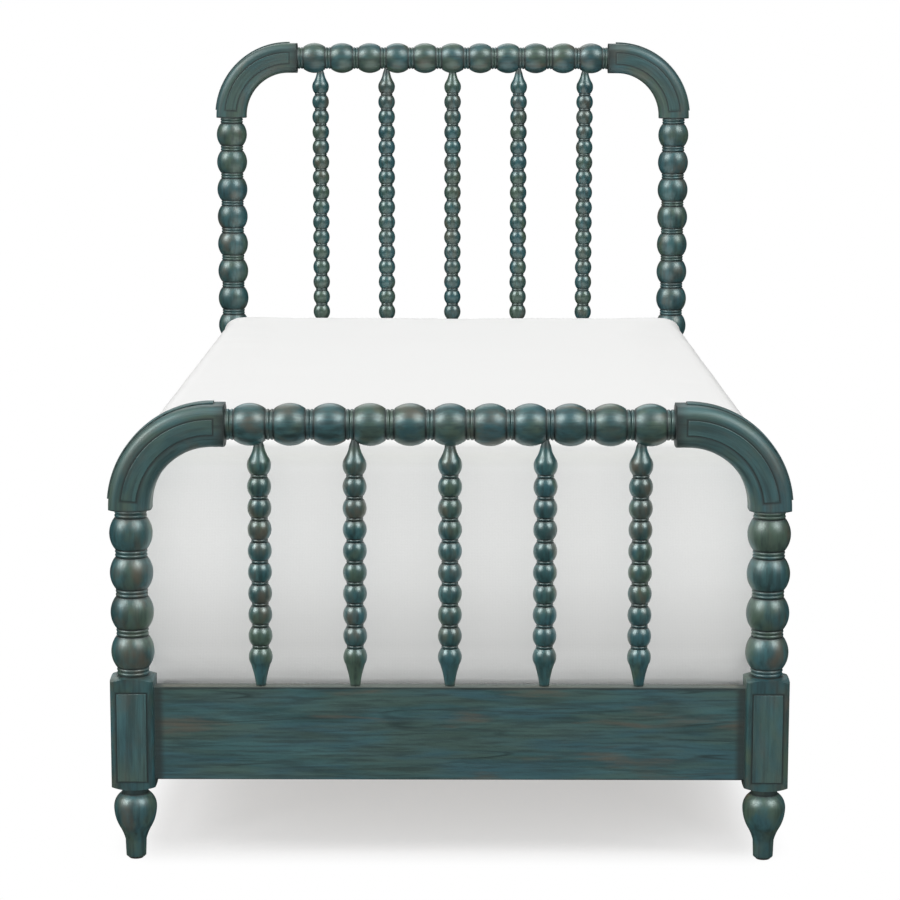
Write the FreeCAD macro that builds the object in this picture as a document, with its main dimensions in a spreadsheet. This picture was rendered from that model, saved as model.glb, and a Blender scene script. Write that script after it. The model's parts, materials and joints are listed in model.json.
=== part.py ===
import FreeCAD, Part

import math
import os

import Sketcher

# A spindle bed: two ball-turned boards joined by side rails, slats and a mattress.
# Millimetres. X runs across the bed, Y from the footboard to the headboard, Z up.
# The origin is on the floor, under the middle of the bed.

DRIVING_SIZES = [
    # name, value, what it is
    ("post_spacing", 1000, "axis to axis of the two posts of a board"),
    ("board_spacing", 1990, "middle plane of the footboard to that of the headboard"),
    ("foot_rail_height", 698.5, "axis of the footboard's top rail above the floor"),
    ("head_rail_height", 1241.5, "axis of the headboard's top rail above the floor"),
    ("glue_gap", 0.1, "clearance all round a tenon, pin or screw in its hole"),
    ("hole_bottom_gap", 1, "space left at the bottom of a socket"),
    # posts
    ("block_size", 68, "square block of a post"),
    ("block_corner", 8, "rounding of the block's upright edges"),
    ("block_bottom", 118, "underside of the block above the floor"),
    ("foot_block_top", 299, "top of a foot post's block"),
    ("head_block_top", 290, "top of a head post's block"),
    ("shoulder_start_dia", 54, "where the turned shoulder of a square section begins"),
    ("shoulder_drop", 8, "depth of the turned shoulder"),
    ("shoulder_bulge", 2, "roundness of the turned shoulder"),
    ("post_ball_dia", 68, "ball of a post"),
    ("post_ball_end_dia", 51, "post ball where it meets the neck"),
    ("post_neck_length", 13.3, "two rings between the balls of a post"),
    ("post_groove_dia", 48, "bottom of the groove beside a post's ball"),
    ("post_vee_dia", 44.5, "bottom of the V between a post's rings"),
    ("post_ring_bulge", 2.3, "roundness of a post's rings"),
    ("foot_ball_count", 4, "balls on a foot post"),
    ("head_ball_count", 13, "balls on a head post"),
    ("post_tenon_dia", 25, "round tenon into the corner block"),
    ("post_tenon_length", 40, "length of that tenon"),
    # turned feet
    ("glide_thickness", 3, "floor glide below the wooden foot"),
    ("glide_dia", 24, "floor glide"),
    ("glide_pin_dia", 5, "pin of the floor glide"),
    ("glide_pin_length", 12, "length of that pin"),
    ("peg_dia", 31.5, "turned foot at the floor"),
    ("peg_edge", 1.5, "bevel round the bottom of the foot"),
    ("peg_top_dia", 33.5, "peg where it begins to swell"),
    ("peg_top_height", 31, "height of that place"),
    ("peg_sweep_bulge", 0.9, "hollow between peg and vase"),
    ("vase_low_dia", 52, "where the hollow turns into the belly"),
    ("vase_low_height", 53, "height of that place"),
    ("vase_dia", 68, "widest place of the vase"),
    ("vase_height", 85, "height of the widest place"),
    ("vase_top_dia", 46, "top of the vase"),
    ("vase_top_height", 107, "height of that place"),
    ("foot_neck_dia", 42, "groove between vase and block"),
    # curved corners
    ("corner_size", 66, "section of a curved corner"),
    ("corner_round", 16, "rounding of that section"),
    ("corner_radius", 130, "middle line of the curve"),
    ("corner_post_leg", 4, "straight stretch above the post"),
    ("corner_rail_leg", 20, "straight stretch beside the top rail"),
    ("corner_shoulder_drop", 6, "depth of the turned shoulders of a corner"),
    ("trim_thickness", 3, "bands and panels stand proud by this"),
    ("trim_setback", 18, "bands and panels stop this far from a corner's end"),
    ("trim_edge", 0.8, "bevel on bands and panels"),
    ("band_width", 24, "band on the outside of a corner"),
    ("inlay_width", 23, "curved panel on the front of a corner"),
    ("panel_side_margin", 11, "block panel to the edge of the block"),
    ("panel_low_margin", 16, "block panel to the bottom of the block"),
    ("panel_high_margin", 24, "block panel to the top of the block"),
    # top rails
    ("rail_ball_dia", 67, "ball of a top rail"),
    ("rail_ball_end_dia", 50.4, "that ball where it meets the neck"),
    ("rail_neck_length", 14, "two rings between the balls of a top rail"),
    ("rail_groove_dia", 46.6, "bottom of the groove beside a top rail's ball"),
    ("rail_vee_dia", 41.6, "bottom of the V between a top rail's rings"),
    ("rail_ring_bulge", 2.2, "roundness of a top rail's rings"),
    ("rail_ball_count", 11, "balls on a top rail"),
    ("rail_tenon_dia", 25, "round tenon into the corner block"),
    ("rail_tenon_length", 40, "length of that tenon"),
    # spindles
    ("spindle_count", 5, "spindles in a board"),
    ("spindle_spacing", 149.2, "axis to axis of the spindles"),
    ("spindle_ball_dia", 37.8, "ball of a spindle"),
    ("spindle_ball_end_dia", 27.5, "that ball where it meets the neck"),
    ("spindle_neck_length", 5.5, "ring between the balls of a spindle"),
    ("spindle_neck_dia", 25.2, "bottom of the grooves beside that ring"),
    ("spindle_ring_bulge", 0.8, "roundness of that ring"),
    ("foot_spindle_balls", 8, "whole balls on a foot spindle"),
    ("head_spindle_balls", 24, "whole balls on a head spindle"),
    ("spindle_top_reach", 64, "widest place of the top drop to the rail's axis"),
    ("spindle_low_reach", 46, "lower rail's top to the widest place of the low drop"),
    ("drop_shoulder_length", 11, "round part of a drop beyond its widest place"),
    ("drop_shoulder_dia", 31.4, "drop at the end of that round part"),
    ("drop_hollow_bulge", 1, "hollow of the slender part of a drop"),
    ("spindle_top_dia", 17, "spindle where it meets a ball of the top rail"),
    ("spindle_top_depth", 34, "that place to the rail's axis"),
    ("spindle_pin_dia", 10, "pin of the spindle inside the top rail"),
    ("spindle_pin_start", 24, "bottom of the pin to the rail's axis"),
    ("spindle_pin_end", 8, "top of the pin to the rail's axis"),
    ("spindle_low_dia", 15.6, "spindle on the lower rail"),
    ("spindle_tenon_dia", 12, "round tenon into the lower rail"),
    ("spindle_tenon_length", 20, "length of that tenon"),
    # flat rails
    ("flat_rail_bottom", 131, "underside of the lower rails and side rails"),
    ("flat_rail_height", 151, "height of the lower rails and side rails"),
    ("flat_rail_thickness", 24, "thickness of the lower rails and side rails"),
    ("flat_rail_edge", 2, "rounding of their long edges"),
    ("rail_mortise_tenon_length", 30, "lower rail's tenon into the post"),
    ("rail_mortise_tenon_height", 112, "height of that tenon"),
    ("rail_mortise_tenon_thickness", 14, "thickness of that tenon"),
    ("side_rail_shift", 14, "side rail's middle plane outside the post's axis"),
    # side rail hardware
    ("bolt_dia", 8, "hanger bolt"),
    ("bolt_point", 3, "bevel at the ends of the bolt"),
    ("bolt_in_post", 45, "length of the bolt in the post"),
    ("bolt_in_rail", 60, "length of the bolt in the side rail"),
    ("bolt_edge_margin", 35, "bolt's axis to the rail's upper or lower edge"),
    ("moon_dia", 30, "round pocket in the inner face of the side rail"),
    ("moon_depth", 20, "depth of that pocket"),
    ("moon_distance", 50, "pocket's middle to the end of the rail"),
    ("washer_gap", 0.2, "half-moon washer to the wall of its pocket"),
    ("washer_height", 15, "half-moon washer along the pocket's depth"),
    ("washer_flat", 4, "flat of the washer to the pocket's middle"),
    ("nut_flats", 13, "nut across its flats"),
    ("nut_thickness", 6.5, "nut along the bolt"),
    # ledges, slats and their screws
    ("ledge_drop", 36, "side rail's top edge down to the ledge's top"),
    ("ledge_width", 25, "ledge across the bed"),
    ("ledge_height", 30, "height of a ledge"),
    ("ledge_end_gap", 80, "end of the ledge to the end of the side rail"),
    ("ledge_edge", 1.5, "rounding of the ledge"),
    ("ledge_screw_count", 8, "screws in a ledge"),
    ("ledge_screw_margin", 60, "first screw to the end of the ledge"),
    ("ledge_screw_rise", 12, "screws above the underside of the ledge"),
    ("ledge_screw_reach", 18, "length of a ledge screw in the side rail"),
    ("slat_count", 14, "slats"),
    ("slat_width", 70, "width of a slat"),
    ("slat_thickness", 18, "thickness of a slat"),
    ("slat_edge", 3, "rounding of a slat"),
    ("slat_end_gap", 2, "end of a slat to the side rail"),
    ("slat_screw_reach", 12, "length of a slat screw in the ledge"),
    ("screw_dia", 4, "wood screw"),
    ("screw_head_dia", 8, "countersunk head"),
    ("screw_head_height", 3, "height of the head"),
    ("screw_point", 2.5, "length of the screw's point"),
    # mattress
    ("mattress_thickness", 400, "mattress with its cover"),
    ("mattress_side_gap", 4, "mattress to a side rail"),
    ("mattress_end_gap", 8.5, "mattress to the posts' blocks"),
    ("mattress_rest_gap", 0.3, "mattress above the slats"),
    ("mattress_edge", 25, "rounding of the mattress"),
]

doc = FreeCAD.newDocument("spindle_bed")
sheet = doc.addObject("Spreadsheet::Sheet", "sizes")
for row, (size_name, size_value, size_note) in enumerate(DRIVING_SIZES, 1):
    sheet.set(f"A{row}", size_note)
    sheet.set(f"B{row}", str(size_value))
    sheet.setAlias(f"B{row}", size_name)
doc.recompute()


class Size:
    """A length, both as a number and as the expression that ties it to the sheet."""

    def __init__(self, value, text):
        self.value = value
        self.text = text

    def __add__(self, other):
        other = as_size(other)
        return Size(self.value + other.value, f"({self.text} + {other.text})")

    def __sub__(self, other):
        other = as_size(other)
        return Size(self.value - other.value, f"({self.text} - {other.text})")

    def __mul__(self, other):
        other = as_size(other)
        return Size(self.value * other.value, f"({self.text} * {other.text})")

    def __truediv__(self, other):
        other = as_size(other)
        return Size(self.value / other.value, f"({self.text} / {other.text})")

    def __neg__(self):
        return Size(-self.value, f"(0 - {self.text})")

    __radd__ = __add__
    __rmul__ = __mul__


def as_size(value):
    return value if isinstance(value, Size) else Size(float(value), str(value))


def root(value):
    return Size(math.sqrt(value.value), f"sqrt({value.text})")


def size(name):
    return Size(float(sheet.get(name)), f"sizes.{name}")


def count(name):
    return int(sheet.get(name))


ZERO = as_size(0)
ENDS = {"foot": -1, "head": 1}
SIDES = {"left": -1, "right": 1}

# ---------------------------------------------------------------- places worked out

trim_thickness = size("trim_thickness")
block_half = size("block_size") / 2
corner_half = size("corner_size") / 2
corner_radius = size("corner_radius")
rail_half = size("flat_rail_thickness") / 2
rail_bottom = size("flat_rail_bottom")
rail_top = rail_bottom + size("flat_rail_height")
glue_gap = size("glue_gap")
rail_reach = size("post_spacing") / 2 - corner_radius - size("corner_rail_leg")
post_inner_face = size("board_spacing") / 2 - block_half
side_rail_length = post_inner_face * 2
side_rail_x = size("post_spacing") / 2 + size("side_rail_shift")
side_rail_inner = side_rail_x - rail_half
ledge_top = rail_top - size("ledge_drop")
ledge_length = side_rail_length - size("ledge_end_gap") * 2
slat_top = ledge_top + size("slat_thickness")

# The panels on the footboard stand proud, so the boards sit half that thickness further back
# and the origin stays under the middle of the whole bed.
y_shift = trim_thickness / 2


def board_y(end):
    return y_shift + size("board_spacing") / 2 * ENDS[end]


def post_x(side):
    return size("post_spacing") / 2 * SIDES[side]


def rail_axis(end):
    return size(f"{end}_rail_height")


def post_end(end):
    """Top of the turned post, where the curved corner begins."""
    return rail_axis(end) - corner_radius - size("corner_post_leg")


# ---------------------------------------------------------------- sketches and features


def new_body(name, x=ZERO, y=ZERO, z=ZERO):
    body = doc.addObject("PartDesign::Body", name)
    body.Label = name
    for axis, place in zip("xyz", (x, y, z)):
        if place is not ZERO:
            body.setExpression(f".Placement.Base.{axis}", place.text)
    return body


def origin_feature(body, role):
    return next(f for f in body.Origin.OriginFeatures if f.Role == role)


def new_sketch(body, name, plane, offset):
    """A sketch on an origin plane, moved by offset = (right, up, out of the plane)."""
    sketch = body.newObject("Sketcher::SketchObject", name)
    sketch.AttachmentSupport = [(origin_feature(body, plane), "")]
    sketch.MapMode = "FlatFace"
    for axis, move in zip("xyz", offset):
        if move is not ZERO:
            sketch.setExpression(f".AttachmentOffset.Base.{axis}", move.text)
    return sketch


def constrain(sketch, constraint, text):
    index = sketch.addConstraint(constraint)
    sketch.setExpression(f"Constraints[{index}]", text)


def draw_outline(body, name, plane, corners, offset=(ZERO, ZERO, ZERO)):
    """A closed outline. A corner is (right, up) or (right, up, bulge): the bulge makes the
    edge to the next corner an arc, outwards on a counter-clockwise outline if positive."""
    sketch = new_sketch(body, name, plane, offset)
    corners = [(as_size(c[0]), as_size(c[1]), c[2] if len(c) > 2 else None) for c in corners]
    edges = []
    for i, (right, up, bulge) in enumerate(corners):
        next_right, next_up, _ = corners[(i + 1) % len(corners)]
        start = FreeCAD.Vector(right.value, up.value, 0)
        stop = FreeCAD.Vector(next_right.value, next_up.value, 0)
        if bulge is None:
            curve = Part.LineSegment(start, stop)
        else:
            along = stop - start
            outward = FreeCAD.Vector(along.y, -along.x, 0).normalize()
            middle = (start + stop) / 2 + outward * bulge.value
            turns_left = bulge.value > 0
            curve = Part.Arc(start, middle, stop) if turns_left else Part.Arc(stop, middle, start)
        edge = sketch.addGeometry(curve, False)
        starts_here = (sketch.Geometry[edge].StartPoint - start).Length < 1e-6
        first, last = (1, 2) if starts_here else (2, 1)
        edges.append((edge, first, last))
        height = None if bulge is None else (bulge if bulge.value > 0 else -bulge)
        if height is not None:
            run, rise = next_right - right, next_up - up
            radius = height / 2 + (run * run + rise * rise) / (height * 8)
            constrain(sketch, Sketcher.Constraint("Radius", edge, radius.value), radius.text)
    for i, (edge, first, last) in enumerate(edges):
        next_edge, next_first, _ = edges[(i + 1) % len(edges)]
        sketch.addConstraint(Sketcher.Constraint("Coincident", edge, last, next_edge, next_first))
        right, up, _ = corners[i]
        constrain(sketch, Sketcher.Constraint("DistanceX", -1, 1, edge, first, right.value), right.text)
        constrain(sketch, Sketcher.Constraint("DistanceY", -1, 1, edge, first, up.value), up.text)
    return sketch


def draw_circles(body, name, plane, circles, offset=(ZERO, ZERO, ZERO)):
    """Circles given as (right, up, diameter)."""
    sketch = new_sketch(body, name, plane, offset)
    for right, up, diameter in circles:
        right, up = as_size(right), as_size(up)
        middle = FreeCAD.Vector(right.value, up.value, 0)
        normal = FreeCAD.Vector(0, 0, 1)
        edge = sketch.addGeometry(Part.Circle(middle, normal, diameter.value / 2), False)
        constrain(sketch, Sketcher.Constraint("DistanceX", -1, 1, edge, 3, right.value), right.text)
        constrain(sketch, Sketcher.Constraint("DistanceY", -1, 1, edge, 3, up.value), up.text)
        constrain(sketch, Sketcher.Constraint("Diameter", edge, diameter.value), diameter.text)
    return sketch


def rectangle(left, bottom, right, top):
    return [(left, bottom), (right, bottom), (right, top), (left, top)]


def rounded_rectangle(middle_x, middle_y, width, height, rounding):
    """Corners of a rectangle whose corners are quarter rounds."""
    bulge = rounding * (1 - math.sqrt(0.5))
    w, h = width / 2, height / 2
    inner_w, inner_h = w - rounding, h - rounding
    return [
        (middle_x - inner_w, middle_y - h),
        (middle_x + inner_w, middle_y - h, bulge),
        (middle_x + w, middle_y - inner_h),
        (middle_x + w, middle_y + inner_h, bulge),
        (middle_x + inner_w, middle_y + h),
        (middle_x - inner_w, middle_y + h, bulge),
        (middle_x - w, middle_y + inner_h),
        (middle_x - w, middle_y - inner_h, bulge),
    ]


def add_feature(body, kind, name, sketch):
    feature = body.newObject(f"PartDesign::{kind}", name)
    feature.Profile = sketch
    return feature


def turn(body, name, sketch, axis="V_Axis", kind="Revolution", angle=360, backwards=False):
    """A turned solid, or with kind Groove a turned cut, about an axis of its sketch."""
    feature = add_feature(body, kind, name, sketch)
    feature.ReferenceAxis = (sketch, [axis])
    feature.Angle = angle
    feature.Reversed = backwards
    return feature


def pad(body, name, sketch, length, backwards=False, symmetric=False):
    feature = add_feature(body, "Pad", name, sketch)
    feature.setExpression("Length", length.text)
    feature.Midplane = symmetric
    feature.Reversed = backwards
    return feature


def pocket(body, name, sketch, depth, backwards=False, symmetric=False):
    feature = add_feature(body, "Pocket", name, sketch)
    feature.setExpression("Length", depth.text)
    feature.Midplane = symmetric
    feature.Reversed = backwards
    return feature


def repeat(body, name, feature, axis, length, copies):
    """A row of copies of a feature along an origin axis, the whole row being length long."""
    row = body.newObject("PartDesign::LinearPattern", name)
    row.Originals = [feature]
    row.Direction = (origin_feature(body, axis), [""])
    row.setExpression("Length", length.text)
    row.setExpression("Occurrences", copies.text)
    body.Tip = row
    return row


def soften(body, name, kind, amount, chosen):
    """A Fillet or Chamfer on all edges of the faces whose normals are in chosen."""
    doc.recompute()
    base = body.Tip
    names = []
    for i, face in enumerate(base.Shape.Faces, 1):
        if not isinstance(face.Surface, Part.Plane):
            continue
        normal = face.normalAt(*face.Surface.parameter(face.CenterOfMass))
        if any((normal - FreeCAD.Vector(*way)).Length < 0.01 for way in chosen):
            names.append(f"Face{i}")
    feature = body.newObject(f"PartDesign::{kind}", name)
    feature.Base = (base, names)
    feature.setExpression("Radius" if kind == "Fillet" else "Size", amount.text)
    return feature


# ---------------------------------------------------------------- turned outlines


def neck_outline(low, length, kind):
    """Two rings with a V between them and a small groove at each end, as (radius, height).
    kind names the turned piece: post or rail."""
    groove, vee = size(f"{kind}_groove_dia") / 2, size(f"{kind}_vee_dia") / 2
    bulge = size(f"{kind}_ring_bulge")
    lip = length / 12
    return [
        (groove, low),
        (groove, low + lip, bulge),
        (vee, low + length / 2, bulge),
        (groove, low + length - lip),
        (groove, low + length),
    ]


def ball_outline(low, chord, ball_dia, end_dia):
    """One ball between two necks, as (radius, height)."""
    return [(end_dia / 2, low, (ball_dia - end_dia) / 2), (end_dia / 2, low + chord)]


def swell(depth, length):
    """Bulge of the arc that gains depth over length and runs straight on at its widest end."""
    chord_squared = depth * depth + length * length
    radius = chord_squared / (depth * 2)
    return radius - root(radius * radius - chord_squared / 4)


def ball_halves_outline(low, chord, ball_dia, end_dia):
    """One ball as two halves that meet at its widest place, as (radius, height)."""
    bulge = swell((ball_dia - end_dia) / 2, chord / 2)
    return [
        (end_dia / 2, low, bulge),
        (ball_dia / 2, low + chord / 2, bulge),
        (end_dia / 2, low + chord),
    ]


def closed(outline, low, high):
    """An outline as (radius, height) closed along the axis."""
    return [(ZERO, low)] + outline + [(ZERO, high)]


def on_side(outline):
    """Turns (radius, height) into a lying outline whose axis is the sketch's right axis."""
    return [(place, radius, *(-b for b in bulge)) for radius, place, *bulge in outline]


past_corner = 0.72  # of a square section's width: from its axis to just beyond its corners


def shoulder_cut(end_place, inward, drop, start_dia, width):
    """What a turned shoulder takes off a square section, as (radius, height).
    inward is 1 where the wood lies above the end and -1 where it lies below."""
    start = start_dia / 2
    reach = width * past_corner
    beyond = end_place - as_size(inward)
    bulge = size("shoulder_bulge") * inward
    return [
        (start, end_place, bulge),
        (reach, end_place + drop * inward),
        (width, end_place + drop * inward),
        (width, beyond),
        (start, beyond),
    ]


# ---------------------------------------------------------------- posts


def foot_outline():
    """The turned foot from the glide up to the block."""
    glide = size("glide_thickness")
    edge = size("peg_edge")
    belly, widest = size("vase_dia") / 2, size("vase_height")
    low_swell = swell(belly - size("vase_low_dia") / 2, widest - size("vase_low_height"))
    top_swell = swell(belly - size("vase_top_dia") / 2, size("vase_top_height") - widest)
    return [
        (size("peg_dia") / 2 - edge, glide),
        (size("peg_dia") / 2, glide + edge),
        (size("peg_top_dia") / 2, size("peg_top_height"), -size("peg_sweep_bulge")),
        (size("vase_low_dia") / 2, size("vase_low_height"), low_swell),
        (belly, widest, top_swell),
        (size("vase_top_dia") / 2, size("vase_top_height")),
        (size("foot_neck_dia") / 2, size("vase_top_height")),
        (size("foot_neck_dia") / 2, size("block_bottom")),
    ]


def make_post(end, side):
    name = f"{end}_post_{side}"
    body = new_body(name, post_x(side), board_y(end))
    low, top = size("block_bottom"), size(f"{end}_block_top")
    balls = size(f"{end}_ball_count")
    neck = size("post_neck_length")
    pitch = (post_end(end) - neck - top) / balls

    foot = draw_outline(body, f"{name}_foot", "XZ_Plane", closed(foot_outline(), size("glide_thickness"), low))
    turn(body, f"{name}_foot_turning", foot)

    square = rounded_rectangle(ZERO, ZERO, size("block_size"), size("block_size"), size("block_corner"))
    block = draw_outline(body, f"{name}_square", "XY_Plane", square, (ZERO, ZERO, low))
    pad(body, f"{name}_block", block, top - low)
    for label, place, inward in (("low", low, 1), ("high", top, -1)):
        cut = shoulder_cut(place, inward, size("shoulder_drop"), size("shoulder_start_dia"), size("block_size"))
        shoulder = draw_outline(body, f"{name}_{label}_shoulder", "XZ_Plane", cut)
        turn(body, f"{name}_{label}_shoulder_cut", shoulder, kind="Groove")

    unit = neck_outline(top, neck, "post")
    unit += ball_outline(top + neck, pitch - neck, size("post_ball_dia"), size("post_ball_end_dia"))
    ball = draw_outline(body, f"{name}_ball", "XZ_Plane", closed(unit, top, top + pitch))
    first_ball = turn(body, f"{name}_ball_turning", ball)
    repeat(body, f"{name}_balls", first_ball, "Z_Axis", pitch * (balls - 1), balls)

    high = post_end(end)
    tip = neck_outline(high - neck, neck, "post")
    tenon_top = high + size("post_tenon_length")
    tip += [(size("post_tenon_dia") / 2, high), (size("post_tenon_dia") / 2, tenon_top)]
    tenon = draw_outline(body, f"{name}_tip", "XZ_Plane", closed(tip, high - neck, tenon_top))
    turn(body, f"{name}_tip_turning", tenon)

    # mortise for the lower rail, in the face that looks at the other post
    inner = -SIDES[side]
    half_thick = size("rail_mortise_tenon_thickness") / 2 + glue_gap
    half_high = size("rail_mortise_tenon_height") / 2 + glue_gap
    middle = (rail_bottom + rail_top) / 2
    mortise = draw_outline(
        body, f"{name}_mortise", "YZ_Plane",
        rectangle(-half_thick, middle - half_high, half_thick, middle + half_high),
        (ZERO, ZERO, block_half * inner),
    )
    depth = size("rail_mortise_tenon_length") + size("hole_bottom_gap")
    pocket(body, f"{name}_mortise_cut", mortise, depth, backwards=inner < 0)

    # holes for the side rail's bolts, in the face that looks at the other board
    inner = -ENDS[end]
    hole = size("bolt_dia") + glue_gap * 2
    shift = size("side_rail_shift") * SIDES[side]
    heights = (rail_bottom + size("bolt_edge_margin"), rail_top - size("bolt_edge_margin"))
    holes = draw_circles(
        body, f"{name}_bolt_holes", "XZ_Plane",
        [(shift, height, hole) for height in heights],
        (ZERO, ZERO, block_half * -inner),
    )
    depth = size("bolt_in_post") + size("hole_bottom_gap")
    pocket(body, f"{name}_bolt_holes_cut", holes, depth, backwards=inner > 0)

    # hole for the glide's pin
    pin = draw_circles(
        body, f"{name}_pin_hole", "XY_Plane",
        [(ZERO, ZERO, size("glide_pin_dia") + glue_gap * 2)],
        (ZERO, ZERO, size("glide_thickness")),
    )
    depth = size("glide_pin_length") + size("hole_bottom_gap")
    pocket(body, f"{name}_pin_hole_cut", pin, depth, backwards=True)
    return body


# ---------------------------------------------------------------- curved corners and their trim


def corner_body(name, end, side):
    """A body whose origin is the centre of the corner's curve."""
    x = (size("post_spacing") / 2 - corner_radius) * SIDES[side]
    return new_body(name, x, board_y(end), rail_axis(end) - corner_radius)


def sweep_corner(body, name, side, section, lying_section):
    """Carries a section round the corner: up the post leg, round the curve, along the rail leg."""
    sign = SIDES[side]
    upright = draw_outline(body, f"{name}_section", "XY_Plane", section)
    turn(body, f"{name}_curve", upright, angle=90, backwards=sign > 0)
    leg = draw_outline(body, f"{name}_post_section", "XY_Plane", section)
    pad(body, f"{name}_post_leg", leg, size("corner_post_leg"), backwards=True)
    lying = draw_outline(body, f"{name}_rail_section", "YZ_Plane", lying_section)
    pad(body, f"{name}_rail_leg", lying, size("corner_rail_leg"), backwards=sign > 0)


def make_corner(end, side):
    name = f"{end}_corner_{side}"
    sign = SIDES[side]
    body = corner_body(name, end, side)
    width, rounding = size("corner_size"), size("corner_round")
    section = rounded_rectangle(corner_radius * sign, ZERO, width, width, rounding)
    lying = rounded_rectangle(ZERO, corner_radius, width, width, rounding)
    sweep_corner(body, name, side, section, lying)

    drop, start_dia = size("corner_shoulder_drop"), size("shoulder_start_dia")
    low_cut = shoulder_cut(-size("corner_post_leg"), 1, drop, start_dia, width)
    low = draw_outline(body, f"{name}_low_shoulder", "XZ_Plane", low_cut, (corner_radius * sign, ZERO, ZERO))
    turn(body, f"{name}_low_shoulder_cut", low, kind="Groove")
    rail_end = size("corner_rail_leg") * -sign
    rail_cut = on_side(shoulder_cut(rail_end, sign, drop, start_dia, width))
    high = draw_outline(body, f"{name}_rail_shoulder", "XZ_Plane", rail_cut, (ZERO, corner_radius, ZERO))
    turn(body, f"{name}_rail_shoulder_cut", high, axis="H_Axis", kind="Groove")

    socket = draw_circles(
        body, f"{name}_post_socket", "XY_Plane",
        [(corner_radius * sign, ZERO, size("post_tenon_dia") + glue_gap * 2)],
        (ZERO, ZERO, -size("corner_post_leg")),
    )
    depth = size("post_tenon_length") + size("hole_bottom_gap")
    pocket(body, f"{name}_post_socket_cut", socket, depth, backwards=True)
    socket = draw_circles(
        body, f"{name}_rail_socket", "YZ_Plane",
        [(ZERO, corner_radius, size("rail_tenon_dia") + glue_gap * 2)],
        (ZERO, ZERO, rail_end),
    )
    depth = size("rail_tenon_length") + size("hole_bottom_gap")
    pocket(body, f"{name}_rail_socket_cut", socket, depth, backwards=sign > 0)
    return body


def trim_ends(body, name, side):
    """Cuts a corner's band or panel back from both ends of the corner."""
    sign = SIDES[side]
    setback = size("trim_setback")
    far = corner_radius * 2
    low_end = -size("corner_post_leg")
    rail_end = size("corner_rail_leg") * -sign
    past = as_size(sign)
    low = draw_outline(body, f"{name}_low_end", "XZ_Plane", rectangle(ZERO, low_end - 1, far * sign, low_end + setback))
    pocket(body, f"{name}_low_end_cut", low, far, symmetric=True)
    rail = draw_outline(
        body, f"{name}_rail_end", "XZ_Plane",
        rectangle(rail_end - past, ZERO, rail_end + setback * sign, far),
    )
    pocket(body, f"{name}_rail_end_cut", rail, far, symmetric=True)


def bevelled_strip(inner, outer, low, high, edge):
    """A flat strip from inner to outer, its two outer edges bevelled."""
    return [
        (inner, low),
        (outer - edge, low),
        (outer, low + edge),
        (outer, high - edge),
        (outer - edge, high),
        (inner, high),
    ]


def make_band(end, side):
    """The raised band on the outside of a curved corner."""
    name = f"{end}_band_{side}"
    sign = SIDES[side]
    body = corner_body(name, end, side)
    half, edge = size("band_width") / 2, size("trim_edge")
    seat = corner_radius + corner_half
    strip = bevelled_strip(seat, seat + trim_thickness, -half, half, edge)
    section = [(right * sign, up) for right, up in strip]
    lying = [(up, right) for right, up in strip]
    sweep_corner(body, name, side, section, lying)
    trim_ends(body, name, side)
    return body


def make_inlay(end, side):
    """The raised curved panel on the front of a curved corner."""
    name = f"{end}_inlay_{side}"
    sign = SIDES[side]
    body = corner_body(name, end, side)
    half, edge = size("inlay_width") / 2, size("trim_edge")
    face = corner_half + trim_thickness
    strip = bevelled_strip(corner_half, face, corner_radius - half, corner_radius + half, edge)
    section = [(right * sign, -up) for up, right in strip]
    lying = [(-up, right) for up, right in strip]
    sweep_corner(body, name, side, section, lying)
    trim_ends(body, name, side)
    return body


def make_block_panel(side):
    """The raised panel on the front of a foot post's block. The same face of a head post
    carries the side rail and stays bare."""
    name = f"foot_block_panel_{side}"
    body = new_body(name, post_x(side), board_y("foot"))
    half = block_half - size("panel_side_margin")
    low = size("block_bottom") + size("panel_low_margin")
    high = size("foot_block_top") - size("panel_high_margin")
    outline = draw_outline(
        body, f"{name}_outline", "XZ_Plane",
        rectangle(-half, low, half, high),
        (ZERO, ZERO, block_half),
    )
    pad(body, f"{name}_board", outline, trim_thickness)
    soften(body, f"{name}_bevel", "Chamfer", size("trim_edge"), [(0, -1, 0)])
    return body


# ---------------------------------------------------------------- top rails and spindles


def spindle_socket_outline(gap):
    """The part of a spindle from the outside of the top rail to the end of its pin, as
    (radius, height), with a gap all round. Heights are below the rail's axis."""
    outside = size("corner_size")
    start, stop = size("spindle_pin_start"), size("spindle_pin_end")
    neck = size("spindle_top_dia") / 2 + gap
    pin = size("spindle_pin_dia") / 2 + gap
    rim = size("spindle_top_depth")
    return [(neck, -outside), (neck, -rim), (pin, -start), (pin, -(stop - gap))]


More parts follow.
